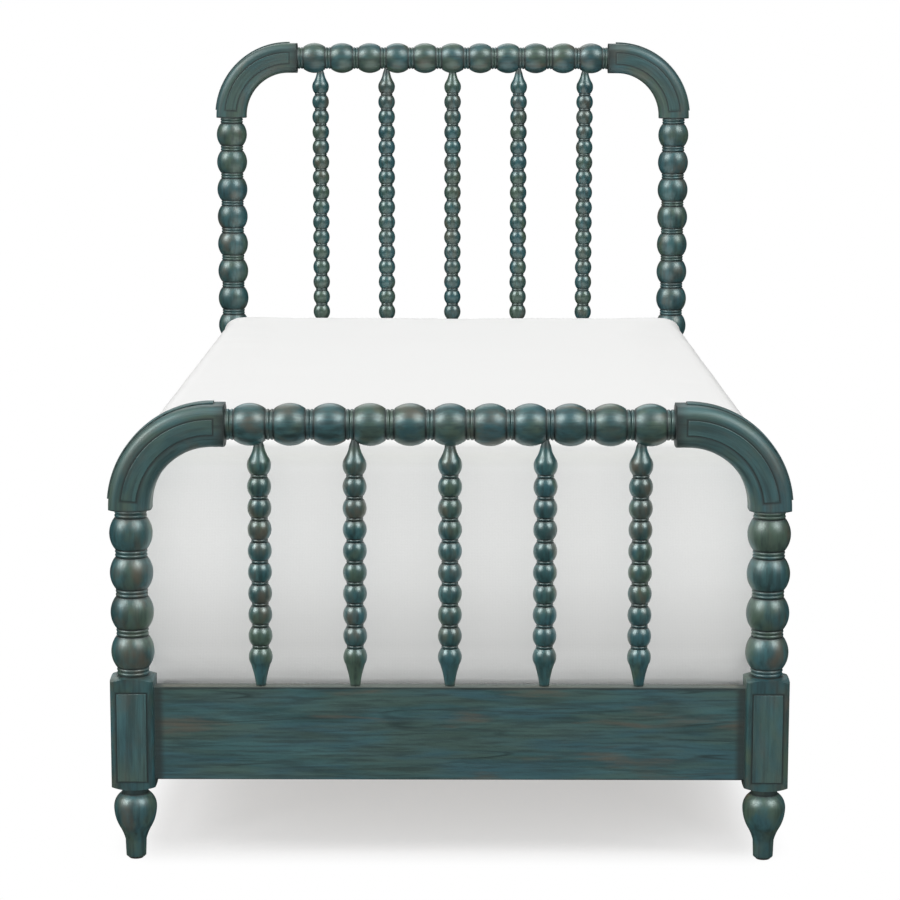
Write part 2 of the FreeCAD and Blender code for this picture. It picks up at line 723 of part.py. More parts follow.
def make_top_rail(end):
    name = f"{end}_top_rail"
    body = new_body(name, ZERO, board_y(end), rail_axis(end))
    balls = size("rail_ball_count")
    neck = size("rail_neck_length")
    pitch = (rail_reach * 2 - neck) / balls
    start = -rail_reach
    tenon = size("rail_tenon_dia") / 2
    reach = rail_reach + size("rail_tenon_length")

    unit = neck_outline(start, neck, "rail")
    unit += ball_halves_outline(start + neck, pitch - neck, size("rail_ball_dia"), size("rail_ball_end_dia"))
    ball = draw_outline(body, f"{name}_ball", "XZ_Plane", on_side(closed(unit, start, start + pitch)))
    first_ball = turn(body, f"{name}_ball_turning", ball, axis="H_Axis")
    repeat(body, f"{name}_balls", first_ball, "X_Axis", pitch * (balls - 1), balls)

    tip = neck_outline(rail_reach - neck, neck, "rail")
    tip += [(tenon, rail_reach), (tenon, reach)]
    right = draw_outline(body, f"{name}_tip", "XZ_Plane", on_side(closed(tip, rail_reach - neck, reach)))
    turn(body, f"{name}_tip_turning", right, axis="H_Axis")
    left = draw_outline(body, f"{name}_tenon", "XZ_Plane", rectangle(-reach, ZERO, start, tenon))
    turn(body, f"{name}_tenon_turning", left, axis="H_Axis")

    row = size("spindle_spacing") * (size("spindle_count") - 1)
    hole = closed(spindle_socket_outline(glue_gap), -size("corner_size"), -(size("spindle_pin_end") - glue_gap))
    socket = draw_outline(body, f"{name}_socket", "XZ_Plane", hole, (-(row / 2), ZERO, ZERO))
    first = turn(body, f"{name}_socket_cut", socket, kind="Groove")
    repeat(body, f"{name}_sockets", first, "X_Axis", row, size("spindle_count"))
    return body


def make_spindle(end, number):
    name = f"{end}_spindle_{number}"
    middle = (size("spindle_count") + 1) / 2
    body = new_body(name, size("spindle_spacing") * (as_size(number) - middle), board_y(end))
    balls = size(f"{end}_spindle_balls")
    low = rail_top + size("spindle_low_reach")
    high = rail_axis(end) - size("spindle_top_reach")
    pitch = (high - low) / (balls + 1)
    neck = size("spindle_neck_length")
    chord = pitch - neck
    ball_dia, end_dia = size("spindle_ball_dia"), size("spindle_ball_end_dia")
    belly, ball_end = ball_dia / 2, end_dia / 2
    groove, ring_bulge = size("spindle_neck_dia") / 2, size("spindle_ring_bulge")
    # towards the neighbouring neck a drop is half a ball
    ball_swell = swell(belly - ball_end, chord / 2)
    hollow = size("drop_hollow_bulge")
    shoulder, shoulder_radius = size("drop_shoulder_length"), size("drop_shoulder_dia") / 2
    drop_swell = swell(belly - shoulder_radius, shoulder)

    low_drop = [
        (size("spindle_tenon_dia") / 2, rail_top - size("spindle_tenon_length")),
        (size("spindle_tenon_dia") / 2, rail_top),
        (size("spindle_low_dia") / 2, rail_top, -hollow),
        (shoulder_radius, low - shoulder, drop_swell),
        (belly, low, ball_swell),
        (ball_end, low + chord / 2),
    ]
    drop = closed(low_drop, rail_top - size("spindle_tenon_length"), low + chord / 2)
    turn(body, f"{name}_low_drop_turning", draw_outline(body, f"{name}_low_drop", "XZ_Plane", drop))

    first = low + chord / 2
    ring = [(groove, first), (groove, first + neck / 8, ring_bulge), (groove, first + neck * 7 / 8), (groove, first + neck)]
    unit = ring + ball_outline(first + neck, chord, ball_dia, end_dia)
    ball = draw_outline(body, f"{name}_ball", "XZ_Plane", closed(unit, first, first + pitch))
    first_ball = turn(body, f"{name}_ball_turning", ball)
    repeat(body, f"{name}_balls", first_ball, "Z_Axis", pitch * (balls - 1), balls)

    last = first + pitch * balls
    pin_top = rail_axis(end) - size("spindle_pin_end")
    high_drop = [
        (groove, last),
        (groove, last + neck / 8, ring_bulge),
        (groove, last + neck * 7 / 8),
        (groove, last + neck),
        (ball_end, last + neck, ball_swell),
        (belly, high, drop_swell),
        (shoulder_radius, high + shoulder, -hollow),
        (size("spindle_top_dia") / 2, rail_axis(end) - size("spindle_top_depth")),
        (size("spindle_pin_dia") / 2, rail_axis(end) - size("spindle_pin_start")),
        (size("spindle_pin_dia") / 2, pin_top),
    ]
    drop = closed(high_drop, last, pin_top)
    turn(body, f"{name}_high_drop_turning", draw_outline(body, f"{name}_high_drop", "XZ_Plane", drop))
    return body


# ---------------------------------------------------------------- flat rails, ledges and slats


def make_lower_rail(end):
    name = f"{end}_lower_rail"
    body = new_body(name, ZERO, board_y(end))
    half_length = size("post_spacing") / 2 - block_half
    board = draw_outline(
        body, f"{name}_outline", "XZ_Plane",
        rectangle(-half_length, rail_bottom, half_length, rail_top),
    )
    pad(body, f"{name}_board", board, size("flat_rail_thickness"), symmetric=True)
    soften(body, f"{name}_edges", "Fillet", size("flat_rail_edge"), [(0, 0, 1), (0, 0, -1)])
    middle = (rail_bottom + rail_top) / 2
    half_high = size("rail_mortise_tenon_height") / 2
    reach = half_length + size("rail_mortise_tenon_length")
    tenons = draw_outline(
        body, f"{name}_tenons", "XZ_Plane",
        rectangle(-reach, middle - half_high, reach, middle + half_high),
    )
    pad(body, f"{name}_tenons_pad", tenons, size("rail_mortise_tenon_thickness"), symmetric=True)
    row = size("spindle_spacing") * (size("spindle_count") - 1)
    socket = draw_circles(
        body, f"{name}_socket", "XY_Plane",
        [(-(row / 2), ZERO, size("spindle_tenon_dia") + glue_gap * 2)],
        (ZERO, ZERO, rail_top),
    )
    depth = size("spindle_tenon_length") + size("hole_bottom_gap")
    first = pocket(body, f"{name}_socket_cut", socket, depth)
    repeat(body, f"{name}_sockets", first, "X_Axis", row, size("spindle_count"))
    return body


def make_side_rail(side):
    name = f"side_rail_{side}"
    sign = SIDES[side]
    body = new_body(name, side_rail_x * sign, y_shift)
    half_length = side_rail_length / 2
    board = draw_outline(
        body, f"{name}_outline", "YZ_Plane",
        rectangle(-half_length, rail_bottom, half_length, rail_top),
    )
    pad(body, f"{name}_board", board, size("flat_rail_thickness"), symmetric=True)
    soften(body, f"{name}_edges", "Fillet", size("flat_rail_edge"), [(0, 0, 1), (0, 0, -1)])

    heights = (rail_bottom + size("bolt_edge_margin"), rail_top - size("bolt_edge_margin"))
    moon_y = half_length - size("moon_distance")
    inner_face = (ZERO, ZERO, rail_half * -sign)
    moons = draw_circles(
        body, f"{name}_moons", "YZ_Plane",
        [(moon_y * way, height, size("moon_dia")) for way in (-1, 1) for height in heights],
        inner_face,
    )
    pocket(body, f"{name}_moons_cut", moons, size("moon_depth"), backwards=sign > 0)
    hole = size("bolt_dia") + glue_gap * 2
    for label, way in ENDS.items():
        holes = draw_circles(
            body, f"{name}_{label}_bolt_holes", "XZ_Plane",
            [(ZERO, height, hole) for height in heights],
            (ZERO, ZERO, half_length * -way),
        )
        pocket(body, f"{name}_{label}_bolt_holes_cut", holes, size("moon_distance"), backwards=way > 0)

    start, step = ledge_screw_row()
    pilot = draw_circles(
        body, f"{name}_pilot", "YZ_Plane",
        [(start, ledge_screw_height(), size("screw_dia") + glue_gap * 2)],
        inner_face,
    )
    depth = size("ledge_screw_reach") + glue_gap * 2
    first = pocket(body, f"{name}_pilot_cut", pilot, depth, backwards=sign > 0)
    screws = size("ledge_screw_count")
    repeat(body, f"{name}_pilots", first, "Y_Axis", step * (screws - 1), screws)
    return body


def ledge_screw_row():
    """First ledge screw along the bed, and the step from one to the next."""
    start = -(ledge_length / 2 - size("ledge_screw_margin"))
    return start, -start * 2 / (size("ledge_screw_count") - 1)


def ledge_screw_height():
    return ledge_top - size("ledge_height") + size("ledge_screw_rise")


def slat_row():
    """First slat's middle along the bed, and the step from one to the next."""
    start = -(ledge_length / 2 - size("slat_width") / 2)
    return start, -start * 2 / (size("slat_count") - 1)


def countersink(low, high):
    """A screw's hole from low up to high, as (radius, height), the head being at the top."""
    shank = size("screw_dia") / 2 + glue_gap
    head = size("screw_head_dia") / 2 + glue_gap
    return [(shank, low), (shank, high - size("screw_head_height") - glue_gap), (head, high)]


def make_ledge(side):
    name = f"slat_ledge_{side}"
    sign = SIDES[side]
    half_width = size("ledge_width") / 2
    x = (side_rail_inner - half_width) * sign
    body = new_body(name, x, y_shift)
    half_length = ledge_length / 2
    bottom = ledge_top - size("ledge_height")
    board = draw_outline(
        body, f"{name}_outline", "YZ_Plane",
        rectangle(-half_length, bottom, half_length, ledge_top),
    )
    pad(body, f"{name}_board", board, size("ledge_width"), symmetric=True)
    soften(body, f"{name}_edges", "Fillet", size("ledge_edge"), [(-sign, 0, 0)])

    start, step = ledge_screw_row()
    # the screw lies, with its head on the bed's inner side and its point towards the rail
    outline = closed(countersink(-half_width, half_width), -half_width, half_width)
    lying = [(place * -sign, radius) for radius, place in outline]
    hole = draw_outline(body, f"{name}_rail_screw", "XY_Plane", lying, (ZERO, start, ledge_screw_height()))
    first = turn(body, f"{name}_rail_screw_cut", hole, axis="H_Axis", kind="Groove")
    screws = size("ledge_screw_count")
    repeat(body, f"{name}_rail_screws", first, "Y_Axis", step * (screws - 1), screws)

    start, step = slat_row()
    pilot = draw_circles(
        body, f"{name}_slat_pilot", "XY_Plane",
        [(ZERO, start, size("screw_dia") + glue_gap * 2)],
        (ZERO, ZERO, ledge_top),
    )
    first = pocket(body, f"{name}_slat_pilot_cut", pilot, size("slat_screw_reach") + glue_gap * 2)
    slats = size("slat_count")
    repeat(body, f"{name}_slat_pilots", first, "Y_Axis", step * (slats - 1), slats)
    return body


def make_slat(number):
    name = f"slat_{number:02d}"
    start, step = slat_row()
    body = new_body(name, ZERO, y_shift + start + step * (number - 1))
    half_length = side_rail_inner - size("slat_end_gap")
    half_width = size("slat_width") / 2
    board = draw_outline(
        body, f"{name}_outline", "XY_Plane",
        rectangle(-half_length, -half_width, half_length, half_width),
        (ZERO, ZERO, ledge_top),
    )
    pad(body, f"{name}_board", board, size("slat_thickness"))
    soften(body, f"{name}_edges", "Fillet", size("slat_edge"), [(0, 0, 1)])
    screw_x = side_rail_inner - size("ledge_width") / 2
    hole = closed(countersink(ledge_top, slat_top), ledge_top, slat_top)
    screw = draw_outline(body, f"{name}_screw", "XZ_Plane", hole, (-screw_x, ZERO, ZERO))
    first = turn(body, f"{name}_screw_cut", screw, kind="Groove")
    repeat(body, f"{name}_screws", first, "X_Axis", screw_x * 2, as_size(2))
    return body


def make_mattress():
    name = "mattress"
    body = new_body(name, ZERO, y_shift, slat_top + size("mattress_rest_gap"))
    half_width = side_rail_inner - size("mattress_side_gap")
    half_length = post_inner_face - size("mattress_end_gap")
    plan = rounded_rectangle(ZERO, ZERO, half_width * 2, half_length * 2, size("mattress_edge") * 1.2)
    outline = draw_outline(body, f"{name}_plan", "XY_Plane", plan)
    pad(body, f"{name}_block", outline, size("mattress_thickness"))
    soften(body, f"{name}_edges", "Fillet", size("mattress_edge"), [(0, 0, 1), (0, 0, -1)])
    return body


# ---------------------------------------------------------------- hardware


def make_wood_screw(name, reach, through):
    """A countersunk screw standing on its point: reach long in the pilot hole, through long
    in the clearance hole, with the top of the head at height zero."""
    body = new_body(name)
    total = reach + through
    head = size("screw_head_dia") / 2
    shank = size("screw_dia") / 2
    outline = [
        (ZERO, -total),
        (shank, size("screw_point") - total),
        (shank, -size("screw_head_height")),
        (head, ZERO),
        (ZERO, ZERO),
    ]
    turn(body, f"{name}_turning", draw_outline(body, f"{name}_outline", "XZ_Plane", outline))
    return body


def make_hanger_bolt():
    """A bolt along Y, whose height zero is the joint between post and side rail."""
    name = "hanger_bolt"
    body = new_body(name)
    radius, point = size("bolt_dia") / 2, size("bolt_point")
    low, high = -size("bolt_in_post"), size("bolt_in_rail")
    outline = [
        (ZERO, low),
        (radius / 3, low),
        (radius, low + point * 2),
        (radius, high - point / 3),
        (radius - point / 3, high),
        (ZERO, high),
    ]
    turn(body, f"{name}_turning", draw_outline(body, f"{name}_outline", "XY_Plane", outline))
    return body


def make_half_moon_washer():
    """Lies in the half of the round pocket next to the post, flat side to the nut."""
    name = "half_moon_washer"
    body = new_body(name)
    radius = size("moon_dia") / 2 - size("washer_gap")
    flat = size("moon_distance") - size("washer_flat")
    chord = size("washer_flat")
    disc = draw_circles(body, f"{name}_disc", "YZ_Plane", [(size("moon_distance"), ZERO, radius * 2)])
    pad(body, f"{name}_round", disc, size("washer_height"), symmetric=True)
    away = draw_outline(body, f"{name}_away", "YZ_Plane", rectangle(flat, -radius - 1, flat + radius + chord + 1, radius + 1))
    pocket(body, f"{name}_flat", away, size("moon_dia"), symmetric=True)
    hole = draw_circles(body, f"{name}_hole", "XZ_Plane", [(ZERO, ZERO, size("bolt_dia") + glue_gap * 2)])
    pocket(body, f"{name}_hole_cut", hole, size("moon_distance"))
    return body


def make_rail_nut():
    """A hexagonal nut against the flat of the half-moon washer."""
    name = "rail_nut"
    nut = doc.addObject("Part::Prism", f"{name}_hexagon")
    nut.Polygon = 6
    nut.setExpression("Circumradius", (size("nut_flats") / (2 * math.cos(math.pi / 6))).text)
    nut.setExpression("Height", size("nut_thickness").text)
    bore = doc.addObject("Part::Cylinder", f"{name}_bore")
    bore.setExpression("Radius", (size("bolt_dia") / 2 + glue_gap).text)
    bore.setExpression("Height", size("nut_thickness").text)
    piece = doc.addObject("Part::Cut", name)
    piece.Base = nut
    piece.Tool = bore
    piece.Placement = FreeCAD.Placement(FreeCAD.Vector(), FreeCAD.Rotation(FreeCAD.Vector(1, 0, 0), -90))
    start = size("moon_distance") - size("washer_flat")
    piece.setExpression(".Placement.Base.y", start.text)
    return piece


def make_glide():
    """A floor glide with its pin, standing on the floor."""
    name = "floor_glide"
    body = new_body(name)
    thick = size("glide_thickness")
    outline = [
        (ZERO, ZERO),
        (size("glide_dia") / 2 - 1, ZERO),
        (size("glide_dia") / 2, as_size(1)),
        (size("glide_dia") / 2, thick),
        (size("glide_pin_dia") / 2, thick),
        (size("glide_pin_dia") / 2, thick + size("glide_pin_length")),
        (ZERO, thick + size("glide_pin_length")),
    ]
    turn(body, f"{name}_turning", draw_outline(body, f"{name}_outline", "XZ_Plane", outline))
    return body


def place_copies(name, piece, placements):
    """One node that holds a copy of a piece at each placement."""
    doc.recompute()
    group = doc.addObject("Part::Feature", name)
    group.Label = name
    shapes = []
    for placement in placements:
        copy = piece.Shape.copy()
        copy.Placement = placement.multiply(copy.Placement)
        shapes.append(copy)
    group.Shape = Part.makeCompound(shapes)
    return group


def placed(x, y, z, axis=(0, 0, 1), angle=0):
    place = FreeCAD.Vector(x.value, y.value, z.value)
    return FreeCAD.Placement(place, FreeCAD.Rotation(FreeCAD.Vector(*axis), angle))


def rail_joint_placements():
    """One placement for each bolt, its own Y running from the post into the side rail."""
    heights = (rail_bottom + size("bolt_edge_margin"), rail_top - size("bolt_edge_margin"))
    found = []
    for end, way in ENDS.items():
        joint = y_shift + post_inner_face * way
        for sign in SIDES.values():
            for height in heights:
                found.append(placed(side_rail_x * sign, joint, height, angle=0 if way < 0 else 180))
    return found


def ledge_screw_placements():
    start, step = ledge_screw_row()
    head = side_rail_inner - size("ledge_width")
    found = []
    for sign in SIDES.values():
        for i in range(count("ledge_screw_count")):
            place = placed(head * sign, y_shift + start + step * i, ledge_screw_height(), (0, 1, 0), -90 * sign)
            found.append(place)
    return found


def slat_screw_placements():
    start, step = slat_row()
    screw_x = side_rail_inner - size("ledge_width") / 2
    return [
        placed(screw_x * sign, y_shift + start + step * i, slat_top)
        for i in range(count("slat_count"))
        for sign in SIDES.values()
    ]


def glide_placements():
    return [placed(post_x(side), board_y(end), ZERO) for end in ENDS for side in SIDES]


# ---------------------------------------------------------------- the bed

pieces = []
for end in ENDS:
    for side in SIDES:
        pieces.append(make_post(end, side))
        pieces.append(make_corner(end, side))
        pieces.append(make_band(end, side))
        pieces.append(make_inlay(end, side))
    pieces.append(make_top_rail(end))
    pieces.append(make_lower_rail(end))
    for number in range(1, count("spindle_count") + 1):
        pieces.append(make_spindle(end, number))
for side in SIDES:
    pieces.append(make_block_panel(side))
    pieces.append(make_side_rail(side))
    pieces.append(make_ledge(side))
for number in range(1, count("slat_count") + 1):
    pieces.append(make_slat(number))
pieces.append(make_mattress())

hanger_bolt = make_hanger_bolt()
half_moon_washer = make_half_moon_washer()
rail_nut = make_rail_nut()
ledge_screw = make_wood_screw("ledge_screw", size("ledge_screw_reach"), size("ledge_width"))
slat_screw = make_wood_screw("slat_screw", size("slat_screw_reach"), size("slat_thickness"))
floor_glide = make_glide()
pieces.append(place_copies("rail_bolts", hanger_bolt, rail_joint_placements()))
pieces.append(place_copies("half_moon_washers", half_moon_washer, rail_joint_placements()))
pieces.append(place_copies("rail_nuts", rail_nut, rail_joint_placements()))
pieces.append(place_copies("ledge_screws", ledge_screw, ledge_screw_placements()))
pieces.append(place_copies("slat_screws", slat_screw, slat_screw_placements()))
pieces.append(place_copies("floor_glides", floor_glide, glide_placements()))

# ---------------------------------------------------------------- checks and files

doc.recompute()
for item in doc.Objects:
    if "Invalid" in item.State or "Error" in item.State:
        raise SystemExit(f"{item.Label} did not build: {item.State}")
    if item.TypeId in ("PartDesign::Pocket", "PartDesign::Groove"):
        before = item.BaseFeature.Shape.Volume
        if not item.Shape.Volume < before - 0.01:
            raise SystemExit(f"{item.Label} cuts nothing")
for piece in pieces:
    if piece.Shape.isNull() or not piece.Shape.isValid() or not piece.Shape.Solids:
        raise SystemExit(f"{piece.Label} has no valid solid")

os.makedirs("parts", exist_ok=True)
for piece in pieces:
    piece.Shape.exportStep(os.path.join("parts", f"{piece.Label}.step"))
print(len(pieces), "pieces,", sum(len(piece.Shape.Solids) for piece in pieces), "solids")
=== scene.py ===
import json
import math

import bmesh
import bpy
import numpy as np
from mathutils import Euler, Matrix, Vector

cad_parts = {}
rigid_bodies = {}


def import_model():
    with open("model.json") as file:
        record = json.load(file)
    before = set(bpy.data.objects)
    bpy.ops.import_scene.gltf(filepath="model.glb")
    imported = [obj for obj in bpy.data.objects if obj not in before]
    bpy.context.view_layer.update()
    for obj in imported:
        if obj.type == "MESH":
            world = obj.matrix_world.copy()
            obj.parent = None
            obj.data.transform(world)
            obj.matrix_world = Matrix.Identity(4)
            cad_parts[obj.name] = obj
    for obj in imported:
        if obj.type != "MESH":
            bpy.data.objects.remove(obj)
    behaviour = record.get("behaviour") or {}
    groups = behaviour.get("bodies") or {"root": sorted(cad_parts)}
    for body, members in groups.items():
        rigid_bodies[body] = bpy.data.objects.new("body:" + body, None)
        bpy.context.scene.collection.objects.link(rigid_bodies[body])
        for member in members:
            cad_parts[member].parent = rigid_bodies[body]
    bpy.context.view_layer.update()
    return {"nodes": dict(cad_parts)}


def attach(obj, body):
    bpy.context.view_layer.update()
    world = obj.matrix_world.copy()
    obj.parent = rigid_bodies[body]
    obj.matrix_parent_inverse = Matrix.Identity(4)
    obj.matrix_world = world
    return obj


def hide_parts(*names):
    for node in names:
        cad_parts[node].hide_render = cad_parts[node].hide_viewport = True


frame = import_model()
bpy.context.scene.view_settings.view_transform = "Standard"

# Metres, in the frame of the CAD model: the footboard is at -Y, the headboard at +Y.
ends = ("foot", "head")
sides = {"left": -1, "right": 1}
bed = {
    "postX": 0.5,
    "boardY": {"foot": -0.9935, "head": 0.9965},
    "topAxis": {"foot": 0.6985, "head": 1.2415},  # axis of the top rail
    "railBottom": 0.131,
    "railTop": 0.282,
    "smoothAngle": math.radians(34),
}

# working with objects


def pick(piece):
    bpy.ops.object.select_all(action="DESELECT")
    piece.select_set(True)
    bpy.context.view_layer.objects.active = piece


def nameNew(name):
    piece = bpy.context.object
    piece.name = name
    piece.data.name = name
    return piece


def edit(piece):
    pick(piece)
    bpy.ops.object.mode_set(mode="EDIT")
    bpy.ops.mesh.select_all(action="SELECT")


def leave():
    bpy.ops.object.mode_set(mode="OBJECT")


def selectFaces(piece, wanted):
    # wanted answers for a face's middle, in edit mode
    bpy.ops.mesh.select_mode(type="FACE")
    shape = bmesh.from_edit_mesh(piece.data)
    for face in shape.faces:
        face.select_set(bool(wanted(face.calc_center_median())))
    shape.select_flush_mode()
    bmesh.update_edit_mesh(piece.data)


def selectEdges(piece, wanted):
    # wanted answers for an edge's two ends, in edit mode
    bpy.ops.mesh.select_mode(type="EDGE")
    shape = bmesh.from_edit_mesh(piece.data)
    bpy.ops.mesh.select_all(action="DESELECT")
    for side in shape.edges:
        side.select_set(bool(wanted(side.verts[0].co, side.verts[1].co)))
    bmesh.update_edit_mesh(piece.data)


def shift(piece, move):
    edit(piece)
    bpy.ops.transform.translate(value=move)
    leave()


def applyModifiers(piece):
    pick(piece)
    for modifier in list(piece.modifiers):
        bpy.ops.object.modifier_apply(modifier=modifier.name)


def smooth(piece, weighted=True):
    pick(piece)
    bpy.ops.object.shade_smooth_by_angle(angle=bed["smoothAngle"])
    if weighted:
        modifier = piece.modifiers.new("faceNormals", "WEIGHTED_NORMAL")
        modifier.keep_sharp = True
        applyModifiers(piece)


def copyOf(piece, name, move=(0, 0, 0)):
    pick(piece)
    bpy.ops.object.duplicate()
    made = nameNew(name)
    shift(made, move)
    return made


def storeValues(piece, name, values):
    kind = "FLOAT_VECTOR" if np.ndim(values) == 2 else "FLOAT"
    layer = piece.data.attributes.get(name) or piece.data.attributes.new(name, kind, "POINT")
    layer.data.foreach_set("vector" if kind == "FLOAT_VECTOR" else "value", np.ravel(values).astype(np.float32))


def points(piece):
    found = np.empty(len(piece.data.vertices) * 3, np.float32)
    piece.data.vertices.foreach_get("co", found)
    return found.reshape(-1, 3).astype(float)


def placePoints(piece, at):
    piece.data.vertices.foreach_set("co", at.ravel().astype(np.float32))
    piece.data.update()


def straightGrain(piece, along, middle, seed):
    # the grain's own coordinates: two across the wood, the third along it
    order = {"X": (1, 2, 0), "Y": (0, 2, 1), "Z": (0, 1, 2)}[along]
    storeValues(piece, "grainSpace", (points(piece) - np.array(middle))[:, order])
    storeValues(piece, "seed", np.full(len(piece.data.vertices), float(seed)))


def finishPiece(piece, node, material, body="bed_frame"):
    piece.data.materials.clear()
    piece.data.materials.append(material)
    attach(piece, body)
    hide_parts(node)


# shader nodes, and the groups that the finishes share


def linear(hexText):
    found = []
    for i in (0, 2, 4):
        level = int(hexText[i : i + 2], 16) / 255
        found.append(level / 12.92 if level <= 0.04045 else ((level + 0.055) / 1.055) ** 2.4)
    return (*found, 1)


def setInputs(tree, node, inputs):
    for socket, value in inputs.items():
        if isinstance(value, bpy.types.NodeSocket):
            tree.links.new(value, node.inputs[socket])
        else:
            node.inputs[socket].default_value = value


def addNode(tree, kind, inputs=None, **settings):
    made = tree.nodes.new(kind)
    for name, value in settings.items():
        setattr(made, name, value)
    setInputs(tree, made, inputs or {})
    return made


def math2(tree, operation, a, b=0.0, clamp=False):
    return addNode(tree, "ShaderNodeMath", {0: a, 1: b}, operation=operation, use_clamp=clamp).outputs[0]


def plus(tree, a, b):
    return math2(tree, "ADD", a, b)


def minus(tree, a, b):
    return math2(tree, "SUBTRACT", a, b)


def times(tree, a, b):
    return math2(tree, "MULTIPLY", a, b)


def larger(tree, a, b):
    return math2(tree, "MAXIMUM", a, b)


def vectorMath(tree, operation, a, b=(0, 0, 0)):
    return addNode(tree, "ShaderNodeVectorMath", {0: a, 1: b}, operation=operation).outputs[0]


def splitPlace(tree, place):
    return addNode(tree, "ShaderNodeSeparateXYZ", {0: place}).outputs


def objectPlace(tree):
    return addNode(tree, "ShaderNodeTexCoord").outputs["Object"]


def noise(tree, place, inputs, seed=None):
    # a seed is a fourth coordinate, so that each piece gets a pattern of its own
    if seed is None:
        return addNode(tree, "ShaderNodeTexNoise", {"Vector": place, **inputs}).outputs[0]
    return addNode(tree, "ShaderNodeTexNoise", {"Vector": place, "W": seed, **inputs}, noise_dimensions="4D").outputs[0]


def mixColour(tree, factor, a, b):
    return addNode(tree, "ShaderNodeMix", {0: factor, 6: a, 7: b}, data_type="RGBA").outputs[2]


def between(tree, value, low, high, toLow=0.0, toHigh=1.0, smoothly=True):
    made = addNode(
        tree, "ShaderNodeMapRange",
        {"Value": value, "From Min": low, "From Max": high, "To Min": toLow, "To Max": toHigh},
        interpolation_type="SMOOTHSTEP" if smoothly else "LINEAR",
    )
    return made.outputs["Result"]


def addBump(tree, shader, height, strength, distance):
    bump = addNode(tree, "ShaderNodeBump", {"Height": height, "Strength": strength, "Distance": distance})
    tree.links.new(bump.outputs[0], shader.inputs["Normal"])


def newGroup(name, inputs, output):
    # an input without a value is a vector, the others are numbers
    tree = bpy.data.node_groups.new(name, "ShaderNodeTree")
    for label, value in inputs.items():
        kind = "NodeSocketVector" if value is None else "NodeSocketFloat"
        socket = tree.interface.new_socket(name=label, in_out="INPUT", socket_type=kind)
        if value is not None:
            socket.default_value = value
    tree.interface.new_socket(name=output, in_out="OUTPUT", socket_type="NodeSocketFloat")
    return tree, tree.nodes.new("NodeGroupInput"), tree.nodes.new("NodeGroupOutput")


def useGroup(tree, group, inputs):
    return addNode(tree, "ShaderNodeGroup", inputs, node_tree=group).outputs[0]


def drawnOut(tree, given):
    # the group's place, scaled so that a pattern is drawn out along the third coordinate
    across = given.outputs["Across"]
    stretch = addNode(tree, "ShaderNodeCombineXYZ", {0: across, 1: across, 2: given.outputs["Along"]})
    return vectorMath(tree, "MULTIPLY", given.outputs["Place"], stretch.outputs[0])


def makeStreaks():
    # brush and grain streaks
    tree, given, result = newGroup(
        "grainStreaks", {"Place": None, "Seed": 0.0, "Across": 90.0, "Along": 5.0, "Waver": 0.4}, "Streaks"
    )
    grain = noise(
        tree, drawnOut(tree, given),
        {"Scale": 1.0, "Detail": 5.0, "Roughness": 0.62, "Distortion": given.outputs["Waver"]},
        given.outputs["Seed"],
    )
    tree.links.new(between(tree, grain, 0.28, 0.72), result.inputs["Streaks"])
    return tree


def makePatches():
    # soft patches, of tints and where the paint is rubbed thin
    tree, given, result = newGroup(
        "rubbedPatches",
        {"Place": None, "Seed": 0.0, "Across": 14.0, "Along": 4.0, "Start": 0.52, "Full": 0.72},
        "Mask",
    )
    cloud = noise(
        tree, drawnOut(tree, given),
        {"Scale": 1.0, "Detail": 4.0, "Roughness": 0.55, "Distortion": 0.3},
        given.outputs["Seed"],
    )
    mask = between(tree, cloud, given.outputs["Start"], given.outputs["Full"])
    tree.links.new(mask, result.inputs["Mask"])
    return tree


def makeGlaze():
    # dark glaze that stays in grooves, broken up a little by the wiping cloth
    tree, given, result = newGroup(
        "glazeInGrooves", {"Place": None, "Groove": 0.0, "Strength": 1.0, "Breakup": 0.35}, "Mask"
    )
    groove = given.outputs["Groove"]
    wiped = noise(tree, given.outputs["Place"], {"Scale": 85.0, "Detail": 3.0, "Roughness": 0.6})
    broken = times(tree, minus(tree, wiped, 0.5), given.outputs["Breakup"])
    held = plus(tree, groove, times(tree, broken, groove))
    mask = math2(tree, "MULTIPLY", held, given.outputs["Strength"], clamp=True)
    tree.links.new(mask, result.inputs["Mask"])
    return tree


def makePanelGlazeAndShade():
    # a soft dark line just outside a box round a raised panel: glaze gathered in the joint, and painted shade where the
    # panel stands proud
    tree, given, result = newGroup(
        "panelOutline", {"Place": None, "Middle": None, "Half": None, "Inside": 0.001, "Outside": 0.0035}, "Mask"
    )
    apart = vectorMath(tree, "SUBTRACT", given.outputs["Place"], given.outputs["Middle"])
    past = splitPlace(tree, vectorMath(tree, "SUBTRACT", vectorMath(tree, "ABSOLUTE", apart), given.outputs["Half"]))
    beyond = larger(tree, larger(tree, past[0], past[2]), past[1])
    outer = between(tree, beyond, 0.0, given.outputs["Outside"], 1.0, 0.0)
    inner = between(tree, beyond, times(tree, given.outputs["Inside"], -1.0), 0.0)
    tree.links.new(times(tree, outer, inner), result.inputs["Mask"])
    return tree


def makeLines():
    # thin dark lines that wander along the grain and come and go
    tree, given, result = newGroup(
        "wavyLines", {"Place": None, "Seed": 0.0, "Across": 26.0, "Along": 1.6, "Width": 0.012}, "Mask"
    )
    seed = given.outputs["Seed"]
    hills = noise(tree, drawnOut(tree, given), {"Scale": 1.0, "Detail": 1.5}, seed)
    gaps = noise(tree, given.outputs["Place"], {"Scale": 9.0, "Detail": 1.0}, seed)
    away = math2(tree, "ABSOLUTE", minus(tree, hills, 0.5))
    line = between(tree, away, 0.0, given.outputs["Width"], 1.0, 0.0)
    tree.links.new(times(tree, line, between(tree, gaps, 0.45, 0.6)), result.inputs["Mask"])
    return tree


streakGroup = makeStreaks()
lineGroup = makeLines()
patchGroup = makePatches()
glazeGroup = makeGlaze()
panelGlazeAndShadeGroup = makePanelGlazeAndShade()

# finishes

